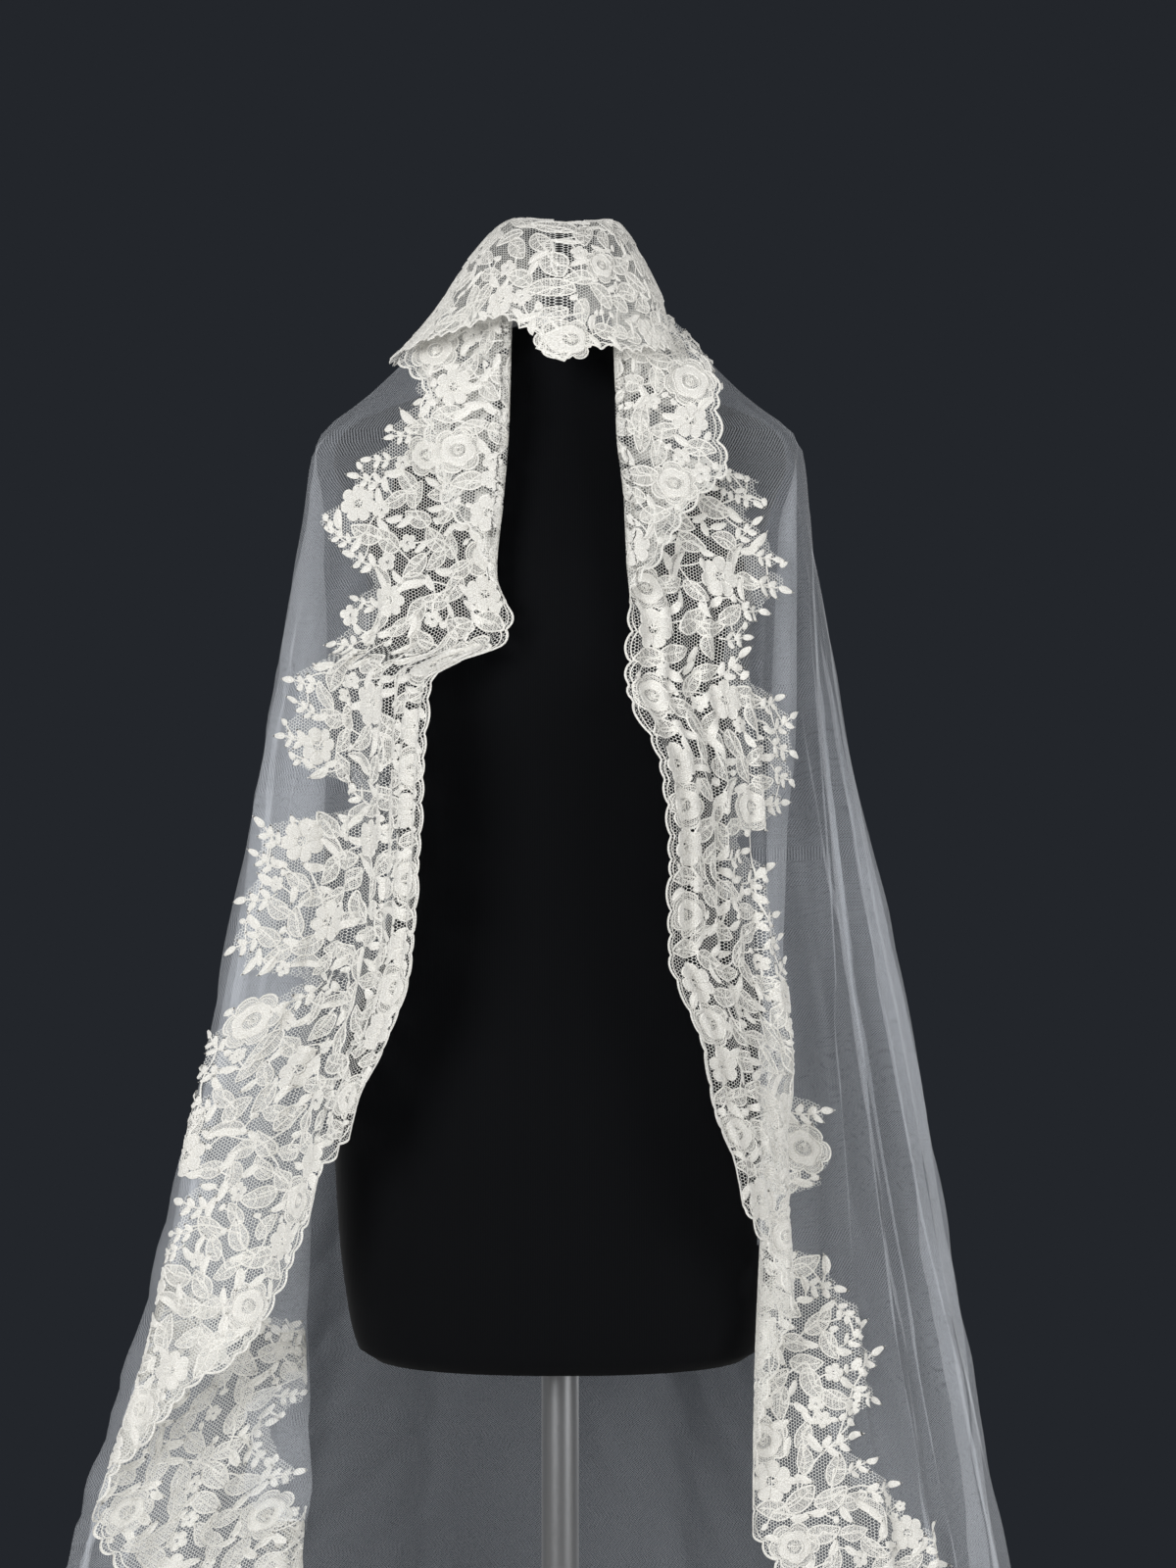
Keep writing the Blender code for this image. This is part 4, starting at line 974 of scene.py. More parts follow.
def rose():
    """A rose: a scalloped collar of net, a ring of petals and a curled heart."""
    work = Stitches()
    collar, heart = lobed(18, 6, 0.22, 42, 1.1), lobed(6.0, 3, 0.10, 21, 1.15, 0.2)
    petals = lobed(12.0, 5, 0.16, 35, 1.12, 0.5)
    work.petal_ring(lobed(12.0, 5, 0.16, 42, 1.12, 0.5), collar, 0.5, 0.85)
    work.petal_ring(lobed(6.0, 3, 0.10, 35, 1.15, 0.2), petals, 1.3, 0.1)
    work.petal_ring(lobed(1.6, 3, 0.1, 21), heart, 0.6, 0.9)
    for line, width, rise in ((collar, 1.4, 1.3), (collar * 0.86, 0.7, 0.9), (petals, 1.3, 1.7)):
        work.cord(line, width, rise, True)
    work.cord(heart, 1.2, 1.6, True)
    t = np.linspace(0.4, 4.4 * np.pi, 20)
    work.cord(np.column_stack([np.cos(t), np.sin(t)]) * (0.6 + t / 4.6)[:, None], 0.9, 1.2)
    return work


def blossom():
    """A small flower of five petals."""
    work = Stitches()
    outer = lobed(7.2, 5, 0.34, 25)
    work.petal_ring(lobed(1.4, 5, 0.1, 25), outer, 1.3, 0.1)
    work.cord(outer * 0.97, 0.9, 1.2, True)
    return work


def bud():
    """A closed bud, pointed at its tip."""
    work = Stitches()
    right, left, _ = leaf_sides(8.4, 5.0, 0.5, 7, base=(0, -4.2), tip=0.65)
    work.leaf_fill(right, left, 1.4, 0.0)
    return work


# %% Leaves and sprays
def net_leaf():
    """A leaf: a corded outline round open net, with a midrib and veins."""
    work = Stitches()
    right, left, rib = leaf_sides(25, 13.5, 2.2, 12, base=(0, -12.5))
    work.leaf_fill(right, left, 0.4, 0.9)
    for side in (right, left):
        work.cord(side, 1.3, 1.2)
    work.cord(rib[:-1], 1.1, 1.1)
    for k in (2, 4, 6, 8):
        for side in (right, left):
            work.cord([rib[k], side[k + 1] * 0.85 + rib[k + 1] * 0.15], 0.6, 0.7)
    return work


def satin_leaf():
    """A narrow pointed leaf of satin stitch."""
    work = Stitches()
    right, left, rib = leaf_sides(17, 6.4, 1.6, 9, base=(0, -8.5))
    work.leaf_fill(right, left, 1.3, 0.0)
    work.cord(rib, 0.6, 1.7, base=1.1)
    return work


def long_leaf():
    """A long curved leaf, satin on one side of its rib and net on the other."""
    work = Stitches()
    right, left, rib = leaf_sides(30, 10.5, -4.5, 13, base=(0, -15))
    work.strip((right, rib), (0.3, 1.0), 0.0, False)
    work.strip((rib, left), (1.0, 0.3), 0.9, False)
    for side in (right, left):
        work.cord(side, 1.1, 1.2)
    work.cord(rib, 1.0, 1.5)
    return work


def leaf_spray():
    """A stem with pairs of pointed satin leaves and one at its tip."""
    work = Stitches()
    t = np.linspace(0, 1, 9)
    stem = np.column_stack([2.6 * np.sin(np.pi * t), 24 * t - 16])
    work.cord(stem, 1.3, 1.0)
    for k, side in ((2, 1), (3, -1), (5, 1), (6, -1)):
        right, left, _ = leaf_sides(12.5 - k * 0.5, 5.0, 0.8, 7, base=stem[k], turn=side * 0.8, tip=0.7)
        work.leaf_fill(right, left, 1.3, 0.0)
    right, left, _ = leaf_sides(13, 5.4, 0.0, 7, base=stem[-1], tip=0.7)
    work.leaf_fill(right, left, 1.3, 0.0)
    return work


def bud_spray():
    """A forked stem with small open flowers at its ends."""
    work = Stitches()
    t = np.linspace(0, 1, 7)
    work.cord(np.column_stack([2.0 * np.sin(np.pi * t), 22 * t - 16]), 1.2, 1.0)
    flower = lobed(4.6, 5, 0.34, 15)
    for x, y, root in ((0.5, 8.5, None), (7.5, 1.0, (1.6, -5.5)), (-7.5, -1.5, (1.8, -8.0))):
        if root:
            bow = ((x + root[0]) / 2, (y + root[1]) / 2 - 1.5)
            work.cord([root, bow, (x, y)], 1.0, 0.9)
        centre = np.array((x, y))
        work.petal_ring(flower * 0.15 + centre, flower + centre, 1.4, 0.0)
        work.cord(flower * 0.96 + centre, 0.8, 1.2, True)
    return work


MOTIFS = (
    ("name", "make", "reach"),
    ("m0_rose", rose, 18.5),
    ("m1_bloom", bloom, 15.0),
    ("m2_net_leaf", net_leaf, 10.5),
    ("m3_long_leaf", long_leaf, 10.5),
    ("m4_satin_leaf", satin_leaf, 6.5),
    ("m5_blossom", blossom, 7.4),
    ("m6_bud", bud, 3.6),
    ("m7_leaf_spray", leaf_spray, 12.0),
    ("m8_bud_spray", bud_spray, 12.0),
)
KIND = {row[0][3:]: index for index, row in enumerate(MOTIFS[1:])}
REACH = [row[2] * MM for row in MOTIFS[1:]]


def motif_object(name, work):
    """A motif as a mesh in metres, with its open_fill attribute."""
    mesh = bpy.data.meshes.new(name)
    mesh.from_pydata([[c * MM for c in p] for p in work.points], [], work.faces)
    set_values(mesh, "open_fill", "FLOAT", np.array(work.fill, np.float32))
    return bpy.data.objects.new(name, mesh)


motif_box = bpy.data.collections.new("lace motifs")
for motif_name, make, _ in MOTIFS[1:]:
    motif_box.objects.link(motif_object(motif_name, make()))

# %% [markdown]
# ## Where each motif goes
#
# Large flowers sit in a row along the scalloped edge. The rest of the band is packed
# from the largest motif to the smallest: a place is kept if it touches none of those
# before it, so the net shows only in narrow gaps. Each motif hangs on a stem from its
# nearest larger neighbour towards the edge and points away from it, as a plant grows.

# %% Packing motifs in a region
EDGE_ROW = ("rose", "bloom", "net_leaf", "rose", "net_leaf", "bloom")
FLOWER_INSET, LEAF_INSET = 0.017, 0.013  # of the row beside the scallops
ROW_SQUEEZE = 0.88  # how near two motifs of that row stand, as a share of their reaches
STEM_LIMIT = 0.07  # no stem is longer
SIZES = (0.82, 1.12)  # of a motif, as a share of its drawn size
LEAN = 0.5  # of a leaf to either side of its stem, in radians
SPRAY_LEAN = 0.7
BOW = 0.28  # of a stem, as a share of its length
LARGE_APART = 0.060  # between two large flowers of a band
CROWN_APART = 0.062


class Layout:
    """Flat places of motifs: kind, place, turn and size of each."""

    def __init__(self, seed):
        self.dice = random.Random(seed)
        self.kind, self.place, self.turn, self.size, self.depth = [], [], [], [], []

    def add(self, kind, place, turn, size, depth):
        """Sets one motif down; its depth is how far in from the free edge it lies."""
        self.kind.append(KIND[kind])
        self.place.append(tuple(place))
        self.turn.append(turn)
        self.size.append(size)
        self.depth.append(depth)

    def reaches(self):
        """How far each motif reaches round its place."""
        return np.array([REACH[k] for k in self.kind]) * np.array(self.size)

    def clear(self, place, reach, squeeze):
        """Whether a motif of this reach touches none that is there."""
        if not self.place:
            return True
        apart = np.linalg.norm(np.array(self.place) - place, axis=1)
        needed = (self.reaches() + reach) * squeeze
        return bool((apart > needed).all())

    def pack(self, kind, tries, draw, squeeze=0.9, alike=0.0):
        """Adds motifs of a kind at drawn places, where there is room."""
        for _ in range(tries):
            place, depth = draw(REACH[KIND[kind]])
            if place is None:
                continue
            size = self.dice.uniform(*SIZES)
            large = (KIND["rose"], KIND["bloom"])
            same = [p for p, k in zip(self.place, self.kind) if k in large]
            if alike and same and min(math.dist(p, place) for p in same) < alike:
                continue
            if self.clear(place, REACH[KIND[kind]] * size, squeeze):
                self.add(kind, place, self.dice.uniform(0, 2 * math.pi), size, depth)

    def grow(self):
        """Turns each leaf away from its stem's root, and returns the stems."""
        places, depths = np.array(self.place), np.array(self.depth)
        reach, stems = self.reaches(), []
        for index in range(len(places)):
            nearer = (depths < depths[index] - 0.002) & (reach >= reach[index] * 0.9)
            if not nearer.any():
                continue
            apart = np.where(nearer, np.linalg.norm(places - places[index], axis=1), 9.0)
            root = int(np.argmin(apart))
            if apart[root] > STEM_LIMIT:
                continue
            way = places[index] - places[root]
            if KIND["net_leaf"] <= self.kind[index] <= KIND["satin_leaf"]:
                lean = self.dice.uniform(-LEAN, LEAN)
                self.turn[index] = math.atan2(way[1], way[0]) - math.pi / 2 + lean
            bow = np.array((-way[1], way[0])) * self.dice.uniform(-BOW, BOW)
            t = np.linspace(0, 1, 7)[:, None]
            stems.append(places[root] + way * t + bow * 4 * t * (1 - t) * 0.5)
        return stems


def band_layout(band, seed, first_flower):
    """Motifs for the lace along one half's free edge."""
    layout = Layout(seed)
    dice = layout.dice

    def place_of(inward, z):
        """The flat place of one motif."""
        return band.flat(np.array([inward]), np.array([z]))[0]

    z, turn_no = band.top - first_flower, 0
    while z > band.bottom + 0.012:
        kind, ahead = (EDGE_ROW[(turn_no + more) % len(EDGE_ROW)] for more in (0, 1))
        leaf = kind == "net_leaf"
        turn = dice.uniform(1.2, 1.9) if leaf else dice.uniform(-0.4, 0.4)
        place = place_of(LEAF_INSET if leaf else FLOWER_INSET, z)
        layout.add(kind, place, turn, dice.uniform(0.9, 1.05), 0.0)
        z -= (REACH[KIND[kind]] + REACH[KIND[ahead]]) * ROW_SQUEEZE
        turn_no += 1

    def anywhere(low, spare):
        """A draw of places that lie further in than low and leave some room to spare."""

        def draw(reach):
            z = dice.uniform(band.bottom + reach * 0.6, band.top - 0.004)
            inward = dice.uniform(low + reach * 0.8, 0.19)
            if inward > band.room(z, reach) - spare:
                return None, 0.0
            return place_of(inward, z), inward

        return draw

    def at_limit(reach):
        """A place at the lace's inner edge, where a spray reaches out."""
        z = dice.uniform(band.bottom + 0.010, band.top - 0.01)
        inward = float(band.limit(z)) - reach * dice.uniform(0.75, 1.1)
        near = band.limit(z + reach * np.array((-0.9, 0.9)))
        if min(near) < inward:
            return None, 0.0
        return place_of(inward, z), inward

    for kind in ("bloom", "rose"):
        layout.pack(kind, 260, anywhere(0.03, 0.0), alike=LARGE_APART)
    before = len(layout.turn)
    layout.pack("leaf_spray", 700, at_limit, 0.8)
    layout.pack("bud_spray", 900, at_limit, 0.8)
    for index in range(before, len(layout.turn)):  # sprays point inward
        layout.turn[index] = -math.pi / 2 + dice.uniform(-SPRAY_LEAN, SPRAY_LEAN)
    for kind, tries, squeeze, spare in (
        ("net_leaf", 4200, 0.78, 0.0),
        ("long_leaf", 3000, 0.78, 0.0),
        ("blossom", 6000, 0.86, 0.0),
        ("satin_leaf", 9000, 0.72, 0.0),
        ("bud", 9000, 0.88, -0.001),
    ):
        layout.pack(kind, tries, anywhere(0.0, spare), squeeze)
    return layout


left_layout = band_layout(left_band, 11, 0.030)
right_layout = band_layout(right_band, 23, 0.055)
print("motifs:", len(left_layout.kind), "left,", len(right_layout.kind), "right")

# %% [markdown]
# ## Setting the motifs down
#
# A Geometry Nodes tree puts a copy of the right motif on each place: the places are
# the vertices of a flat mesh that carry kind, turn and size. Realize Instances makes
# them one mesh, and the result is kept as a plain mesh.

# %% A node tree that sets motifs on places
def motif_tree():
    """Copies of the motifs on points, picked, turned and sized by attributes."""
    tree = bpy.data.node_groups.new("motifs on places", "GeometryNodeTree")
    tree.interface.new_socket("Geometry", in_out="INPUT", socket_type="NodeSocketGeometry")
    tree.interface.new_socket("Motifs", in_out="INPUT", socket_type="NodeSocketCollection")
    tree.interface.new_socket("Thread", in_out="INPUT", socket_type="NodeSocketMaterial")
    tree.interface.new_socket("Geometry", in_out="OUTPUT", socket_type="NodeSocketGeometry")
    given = node(tree, "NodeGroupInput").outputs
    choice = {"Collection": given["Motifs"], "Separate Children": True, "Reset Children": True}
    box = node(tree, "GeometryNodeCollectionInfo", choice).outputs["Instances"]
    said = {}
    for name, kind in (("kind", "INT"), ("turn", "FLOAT"), ("size", "FLOAT")):
        reader = node(tree, "GeometryNodeInputNamedAttribute", {"Name": name}, data_type=kind)
        said[name] = reader.outputs["Attribute"]
    placing = {
        "Points": given["Geometry"],
        "Instance": box,
        "Pick Instance": True,
        "Instance Index": said["kind"],
        "Rotation": node(tree, "ShaderNodeCombineXYZ", {"Z": said["turn"]}).outputs["Vector"],
        "Scale": said["size"],
    }
    placed = node(tree, "GeometryNodeInstanceOnPoints", placing).outputs["Instances"]
    real = node(tree, "GeometryNodeRealizeInstances", {"Geometry": placed}).outputs["Geometry"]
    thread = {"Geometry": real, "Material": given["Thread"]}
    finished = node(tree, "GeometryNodeSetMaterial", thread).outputs["Geometry"]
    node(tree, "NodeGroupOutput", {0: finished})
    return tree


motifs_on_places = motif_tree()


def set_down(layout):
    """The layout's motifs as flat points, faces and open fill."""
    mesh = bpy.data.meshes.new("places")
    mesh.from_pydata([(x, y, 0.0) for x, y in layout.place], [], [])
    for name, kind, values in (
        ("kind", "INT", layout.kind),
        ("turn", "FLOAT", layout.turn),
        ("size", "FLOAT", layout.size),
    ):
        set_values(mesh, name, kind, values)
    carrier = placed_in_scene("places", mesh)
    modifier = carrier.modifiers.new("motifs", "NODES")
    modifier.node_group = motifs_on_places
    given = [item for item in motifs_on_places.interface.items_tree if item.in_out == "INPUT"]
    sockets = {item.name: item.identifier for item in given}
    modifier[sockets["Motifs"]] = motif_box
    modifier[sockets["Thread"]] = lace_thread
    graph = bpy.context.evaluated_depsgraph_get()
    made = bpy.data.meshes.new_from_object(carrier.evaluated_get(graph))
    points = np.empty(len(made.vertices) * 3, np.float32)
    made.vertices.foreach_get("co", points)
    faces = np.empty(len(made.loops), np.int32)
    made.loops.foreach_get("vertex_index", faces)
    fill = np.empty(len(made.vertices), np.float32)
    made.attributes["open_fill"].data.foreach_get("value", fill)
    bpy.data.objects.remove(carrier)
    bpy.data.meshes.remove(made)
    return points.reshape(-1, 3).astype(float), faces.reshape(-1, 4), fill.astype(float)


def joined(parts):
    """Several sets of flat points, faces and fill as one."""
    points, faces, fill = zip(*parts)
    firsts = np.cumsum([0] + [len(some) for some in points[:-1]])
    moved = [some + first for some, first in zip(faces, firsts)]
    return np.concatenate(points), np.concatenate(moved), np.concatenate(fill)


def cords(lines, width, rise):
    """Cords along flat lines, as flat points, faces and fill."""
    work = Stitches()
    for line in lines:
        work.cord(np.array(line) / MM, width, rise)
    return np.array(work.points) * MM, np.array(work.faces), np.array(work.fill)


def stitched(motifs, stems, rim, inner_rim):
    """Motifs with their stems, and the thick and thin cord of a scalloped edge."""
    edge = [cords([rim[::2]], 1.9, 1.4), cords([inner_rim[::2]], 0.9, 0.9)]
    return joined([motifs, cords(stems, 1.3, 0.75), *edge])


# %% [markdown]
# ## The scalloped edge
#
# The free edge is finished in round scallops of uneven width, with a double cord: a
# thick one along the rim and a thin one just inside it.

# %% Scallops
SCALLOP_WIDTHS = (0.014, 0.018, 0.022, 0.016, 0.012, 0.024, 0.017)
COMMON_SCALLOP = 0.018  # a scallop of this width has the full depth
INNER_SCALLOP_DEPTH = 0.0035
RIM_STEP = 0.0012
INNER_RIM = 0.0028  # from the free edge to the thin cord
NET_COLUMNS = 54
INTO_NET = 0.0002  # the stitches start this far inside their ground


def scalloped(line, side, depth=SCALLOP_DEPTH):
    """A line thrown out to one side in round scallops of uneven width."""
    run = run_along(line)
    even = np.arange(0.0, run[-1], RIM_STEP)
    line = np.column_stack([np.interp(even, run, line[:, k]) for k in (0, 1)])
    ends = np.cumsum(np.tile(SCALLOP_WIDTHS, 200))
    ends = np.concatenate([[0.0], ends[ends < even[-1] + 0.03]])
    cell = np.searchsorted(ends, even, side="right") - 1
    part = (even - ends[cell]) / (ends[cell + 1] - ends[cell])
    wide = (ends[cell + 1] - ends[cell]) / COMMON_SCALLOP
    return line + right_of(line) * side * (depth * wide * np.abs(np.sin(np.pi * part)) ** 0.7)[:, None]


def cut_line(band, layout, z):
    """How far inward the ground is left at each height: it is cut out round the motifs."""
    reach = 0.85 * np.array([REACH[k] for k in layout.kind]) * np.array(layout.size)
    level = np.array(layout.place)[:, 1]
    inward = np.array(layout.depth)
    across = reach**2 - (z[:, None] - level[None, :]) ** 2
    far = np.where(across > 0, inward + np.sqrt(np.maximum(across, 0.0)), 0.02).max(axis=1)
    evened(far)
    return far


def outward(half, flat, faces):
    """The faces, turned so that they look out of the cloth where it shows."""
    shows_out = half.facing(flat[faces].mean(axis=1)) * half.side > 0
    first, second, third = (flat[faces[:, k]] for k in (0, 1, 2))
    wrong = (np.cross(second - first, third - first) > 0) != shows_out
    faces = faces.copy()
    faces[wrong] = faces[wrong][:, ::-1]
    return faces


def lace_half(name, half, band, layout):
    """One half's lace: its net ground and its flowers, hung on the cloth."""

    def hung(part, flat, faces, rise, material, fill=None):
        """A part of the lace, carried from its flat places to the hanging cloth."""
        points = half.hang(flat, rise)
        return mesh_object(name + part, points, outward(half, flat, faces), flat, material, fill)

    rim = scalloped(np.column_stack([band.edge, band.levels]), 1)
    beside_rim = band.flat(np.full(len(band.levels), INNER_RIM), band.levels)
    outer = rim[::3]
    inner = band.flat(cut_line(band, layout, outer[:, 1]), outer[:, 1])
    share = np.linspace(0, 1, NET_COLUMNS)[None, :, None]
    flat = (outer[:, None, :] * (1 - share) + inner[:, None, :] * share).reshape(-1, 2)
    faces = grid_faces(len(outer), NET_COLUMNS)
    ground = hung("_lace_net", flat, faces, np.zeros(len(flat)), lace_net)
    stems = layout.grow()
    inner_rim = scalloped(beside_rim, 1, INNER_SCALLOP_DEPTH)
    points, faces, fill = stitched(set_down(layout), stems, rim, inner_rim)
    points[:, 1] = np.maximum(points[:, 1], HEM_Z)
    rise = points[:, 2] - INTO_NET
    return ground, hung("_lace_flowers", points[:, :2], faces, rise, lace_thread, fill)


left_ground, left_flowers = lace_half("left", left, left_band, left_layout)
right_ground, right_flowers = lace_half("right", right, right_band, right_layout)
for piece in (left_ground, left_flowers, right_ground, right_flowers):
    print(piece.name, len(piece.data.polygons), "faces,", round(area_of(piece), 3), "m2")

# %% [markdown]
# ## The tulle
#
# The net itself is one sheet, so one mesh covers both halves and passes the centre
# back without a seam. Its columns follow the section's own places, which lie close
# together round each fold. Behind the lace it is trimmed away, so that the flowers
# stand over their own ground, and it starts a little way under that ground's inner edge.

# %% The tulle as one sheet
NET_UNDER_LACE = 0.0016  # the tulle lies this far inside the lace
TRIM_LAP = 0.012  # and runs on this far under its ground
TRIM_SPAN = 10  # levels above and below that a place of the trimmed edge looks at
LEAST_TRIM = 0.006
TULLE_LEVEL = 0.010
NEAR_LACE, IN_FOLD, ELSEWHERE = 1 / 16, 1 / 8, 1 / 10  # between columns, in a section's keys
PINCH_WIDTH = 0.08  # a crease narrower than this gets columns of its own


def tulle_places(half):
    """Places along a section: fine round the folds and creases, and even elsewhere."""
    first, last = half.at["bend"] - 1.0, half.at["side"] - 1.0
    fold_out, fold_in = half.at["fold_out"], half.at["fold_in"]
    beside_lace = [np.arange(*span, NEAR_LACE) for span in ((first, fold_out), (fold_in, last))]
    fold = np.arange(fold_out, fold_in, IN_FOLD)
    open_cloth = np.arange(last, half.last + 0.001, ELSEWHERE)
    creases = rows_of(CREASES["left" if half.side < 0 else "right"])
    narrow = [c[0] + c[4] * np.linspace(-1.9, 1.9, 9) for c in creases if c[4] < PINCH_WIDTH]
    return np.unique(np.round(np.concatenate([*beside_lace, fold, open_cloth, *narrow]), 4))


def trimmed_edge(band, layout, levels):
    """How far inward the tulle starts at each height: behind the ground all round."""
    edge = cut_line(band, layout, band.levels)
    for over in (np.min, np.mean):  # a mean of the least values never passes the edge itself
        wide = np.pad(edge, TRIM_SPAN, mode="edge")
        edge = over([wide[k : k + len(edge)] for k in range(2 * TRIM_SPAN + 1)], axis=0)
    start = np.interp(-levels, -band.levels, edge) - TRIM_LAP
    return band.flat(np.maximum(start, LEAST_TRIM), levels)[:, 0]


def tulle_grid(half, band, layout):
    """Flat places of one half's net, row by row, and which of them are cloth."""
    places = tulle_places(half)
    levels = level_rows(TULLE_TOP_Z, HEM_Z, TULLE_LEVEL)
    rows, cloth = [], []
    for z, start in zip(levels, trimmed_edge(band, layout, levels)):
        q = np.interp(places, half.p, half.q[half.row_of(z)])
        start = min(start, q[-1] - 0.05)
        first = max(int(np.searchsorted(q, start)), 1)
        q[first - 1] = max(q[first - 1], start)
        rows.append(np.column_stack([q, np.full(len(q), z)]))
        cloth.append(np.arange(len(q)) >= first - 1)
    return np.array(rows), np.array(cloth)


def tulle_sheet():
    """Both halves' net, joined at the centre back."""
    sides = []
    for half, band, layout in ((left, left_band, left_layout), (right, right_band, right_layout)):
        grid, cloth = tulle_grid(half, band, layout)
        if half.side > 0:
            grid, cloth = grid[:, ::-1], cloth[:, ::-1]
        flat = grid.reshape(-1, 2)
        hung = half.hang(flat, np.full(len(flat), -NET_UNDER_LACE)).reshape(*grid.shape[:2], 3)
        map_u = run_along(hung, axis=1)
        if half.side < 0:
            map_u = map_u - map_u[:, -1:]
        sides.append((hung, np.stack([map_u, grid[:, :, 1]], axis=2), cloth))
    pairs = zip(*sides)  # the right half's first column is the left half's last
    points, uv, cloth = (np.concatenate([one, other[:, 1:]], axis=1) for one, other in pairs)
    cloth = cloth.ravel()
    faces = grid_faces(*points.shape[:2])
    faces = faces[cloth[faces].all(axis=1)]
    used, faces = np.unique(faces, return_inverse=True)
    points, uv = points.reshape(-1, 3)[used], uv.reshape(-1, 2)[used]
    piece = mesh_object("tulle_sheet", points, faces.reshape(-1, 4), uv, tulle)
    shape = bmesh.new()
    shape.from_mesh(piece.data)
    bmesh.ops.remove_doubles(shape, verts=shape.verts, dist=1e-5)
    bmesh.ops.dissolve_degenerate(shape, dist=1e-6, edges=shape.edges)
    shape.to_mesh(piece.data)
    shape.free()
    return piece


tulle_piece = tulle_sheet()
print("tulle:", len(tulle_piece.data.polygons), "faces,", round(area_of(tulle_piece), 2), "m2")

# %% [markdown]
# ## The crown
#
# Over the top of the head the band of lace lies as a cap with its scalloped edge over
# the forehead. The cap is laid out in a flattened round: the distance from its middle
# runs down the cap, and the angle runs round the head.

# %% The crown's shape
class Crown:
    """The cap over the knob, as a map from a flattened round."""

    def __init__(self):
        rows = rows_of(CROWN)[::-1]
        size = rows[:, 1:].mean(axis=1)
        step = np.hypot(np.diff(rows[:, 0]), np.diff(size))
        self.run, self.rows = np.concatenate([[0.0], np.cumsum(step)]), rows
        self.dips = rows_of(CROWN_EDGE)

    def edge(self, turn):
        """How far from the middle the edge lies at an angle."""
        height = smooth_steps(np.degrees(turn), self.dips[:, 0], self.dips[:, 1])
        return np.interp(-height, -self.rows[:, 0], self.run)

    def points(self, flat):
        """Points of the cap at flat places."""
        reach = np.hypot(flat[:, 0], flat[:, 1])
        turn = np.arctan2(flat[:, 0], -flat[:, 1])
        sizes = [smooth_steps(reach, self.run, column) for column in self.rows.T]
        z, left_width, right_width, front, back = sizes
        x, y = rounded_square(turn, CROWN_SQUARENESS)
        soft = CROWN_RIPPLE * np.sin(7 * turn + 1.0) * soft_step(0.03, 0.09, reach)
        width = np.where(x < 0, left_width, right_width) + soft
        depth = np.where(y > 0, front, back) + soft
        place_x, place_y = x * width, -y * depth
        for middle, spread, height in CROWN_HUMPS:
            z = z + height * np.exp(-(((place_x - middle) / spread) ** 2) - (place_y / HUMP_DEPTH) ** 2)
        return np.column_stack([place_x, place_y, z])

    def hang(self, flat, rise):
        """Flat places raised off the cap."""
        step = 0.0015
        across = self.points(flat + (step, 0)) - self.points(flat - (step, 0))
        along = self.points(flat + (0, step)) - self.points(flat - (0, step))
        return self.points(flat) + unit(np.cross(across, along)) * rise[:, None]


crown = Crown()


def round_place(turn, reach):
    """Flat places of the cap at angles from the front and distances from its middle."""
    return np.stack([reach * np.sin(turn), -reach * np.cos(turn)], axis=-1)


# %% Lace of the crown
CROWN_ROW = (  # along the forehead: angle from the front and motif
    (-104, "bloom"), (-80, "net_leaf"), (-58, "rose"), (-36, "net_leaf"), (-19, "bloom"),
    (2, "rose"), (20, "net_leaf"), (37, "bloom"), (57, "net_leaf"), (77, "rose"),
    (98, "net_leaf"),
)
CROWN_ROW_INSET = 0.016
CROWN_COLUMNS, CROWN_TURNS = 40, 721
CROWN_MIDDLE = 0.0002  # reach of the ground's innermost places
INNER_RIM_SHARE = 0.978  # of the reach of the edge, where the thin cord lies


def crown_layout(seed):
    """Flowers along the forehead edge, and the rest packed over the cap."""
    layout = Layout(seed)
    dice = layout.dice
    for degrees, kind in CROWN_ROW:
        turn = math.radians(degrees)
        reach = crown.edge(turn) - CROWN_ROW_INSET
        place = (reach * math.sin(turn), -reach * math.cos(turn))
        layout.add(kind, place, turn + math.pi / 2, 0.9, 0.0)

    def draw(reach):
        turn = dice.uniform(-math.pi, math.pi)
        out = math.sqrt(dice.random()) * (crown.edge(turn) - reach * 0.9)
        place = (out * math.sin(turn), -out * math.cos(turn))
        return place, crown.edge(0.0) + place[1]

    for kind in ("rose", "bloom"):
        layout.pack(kind, 200, draw, alike=CROWN_APART)
    for kind, tries, squeeze in (
        ("net_leaf", 900, 0.8),
        ("long_leaf", 500, 0.8),
        ("blossom", 900, 0.88),
        ("satin_leaf", 1600, 0.72),
        ("bud", 1800, 0.86),
    ):
        layout.pack(kind, tries, draw, squeeze)
    return layout


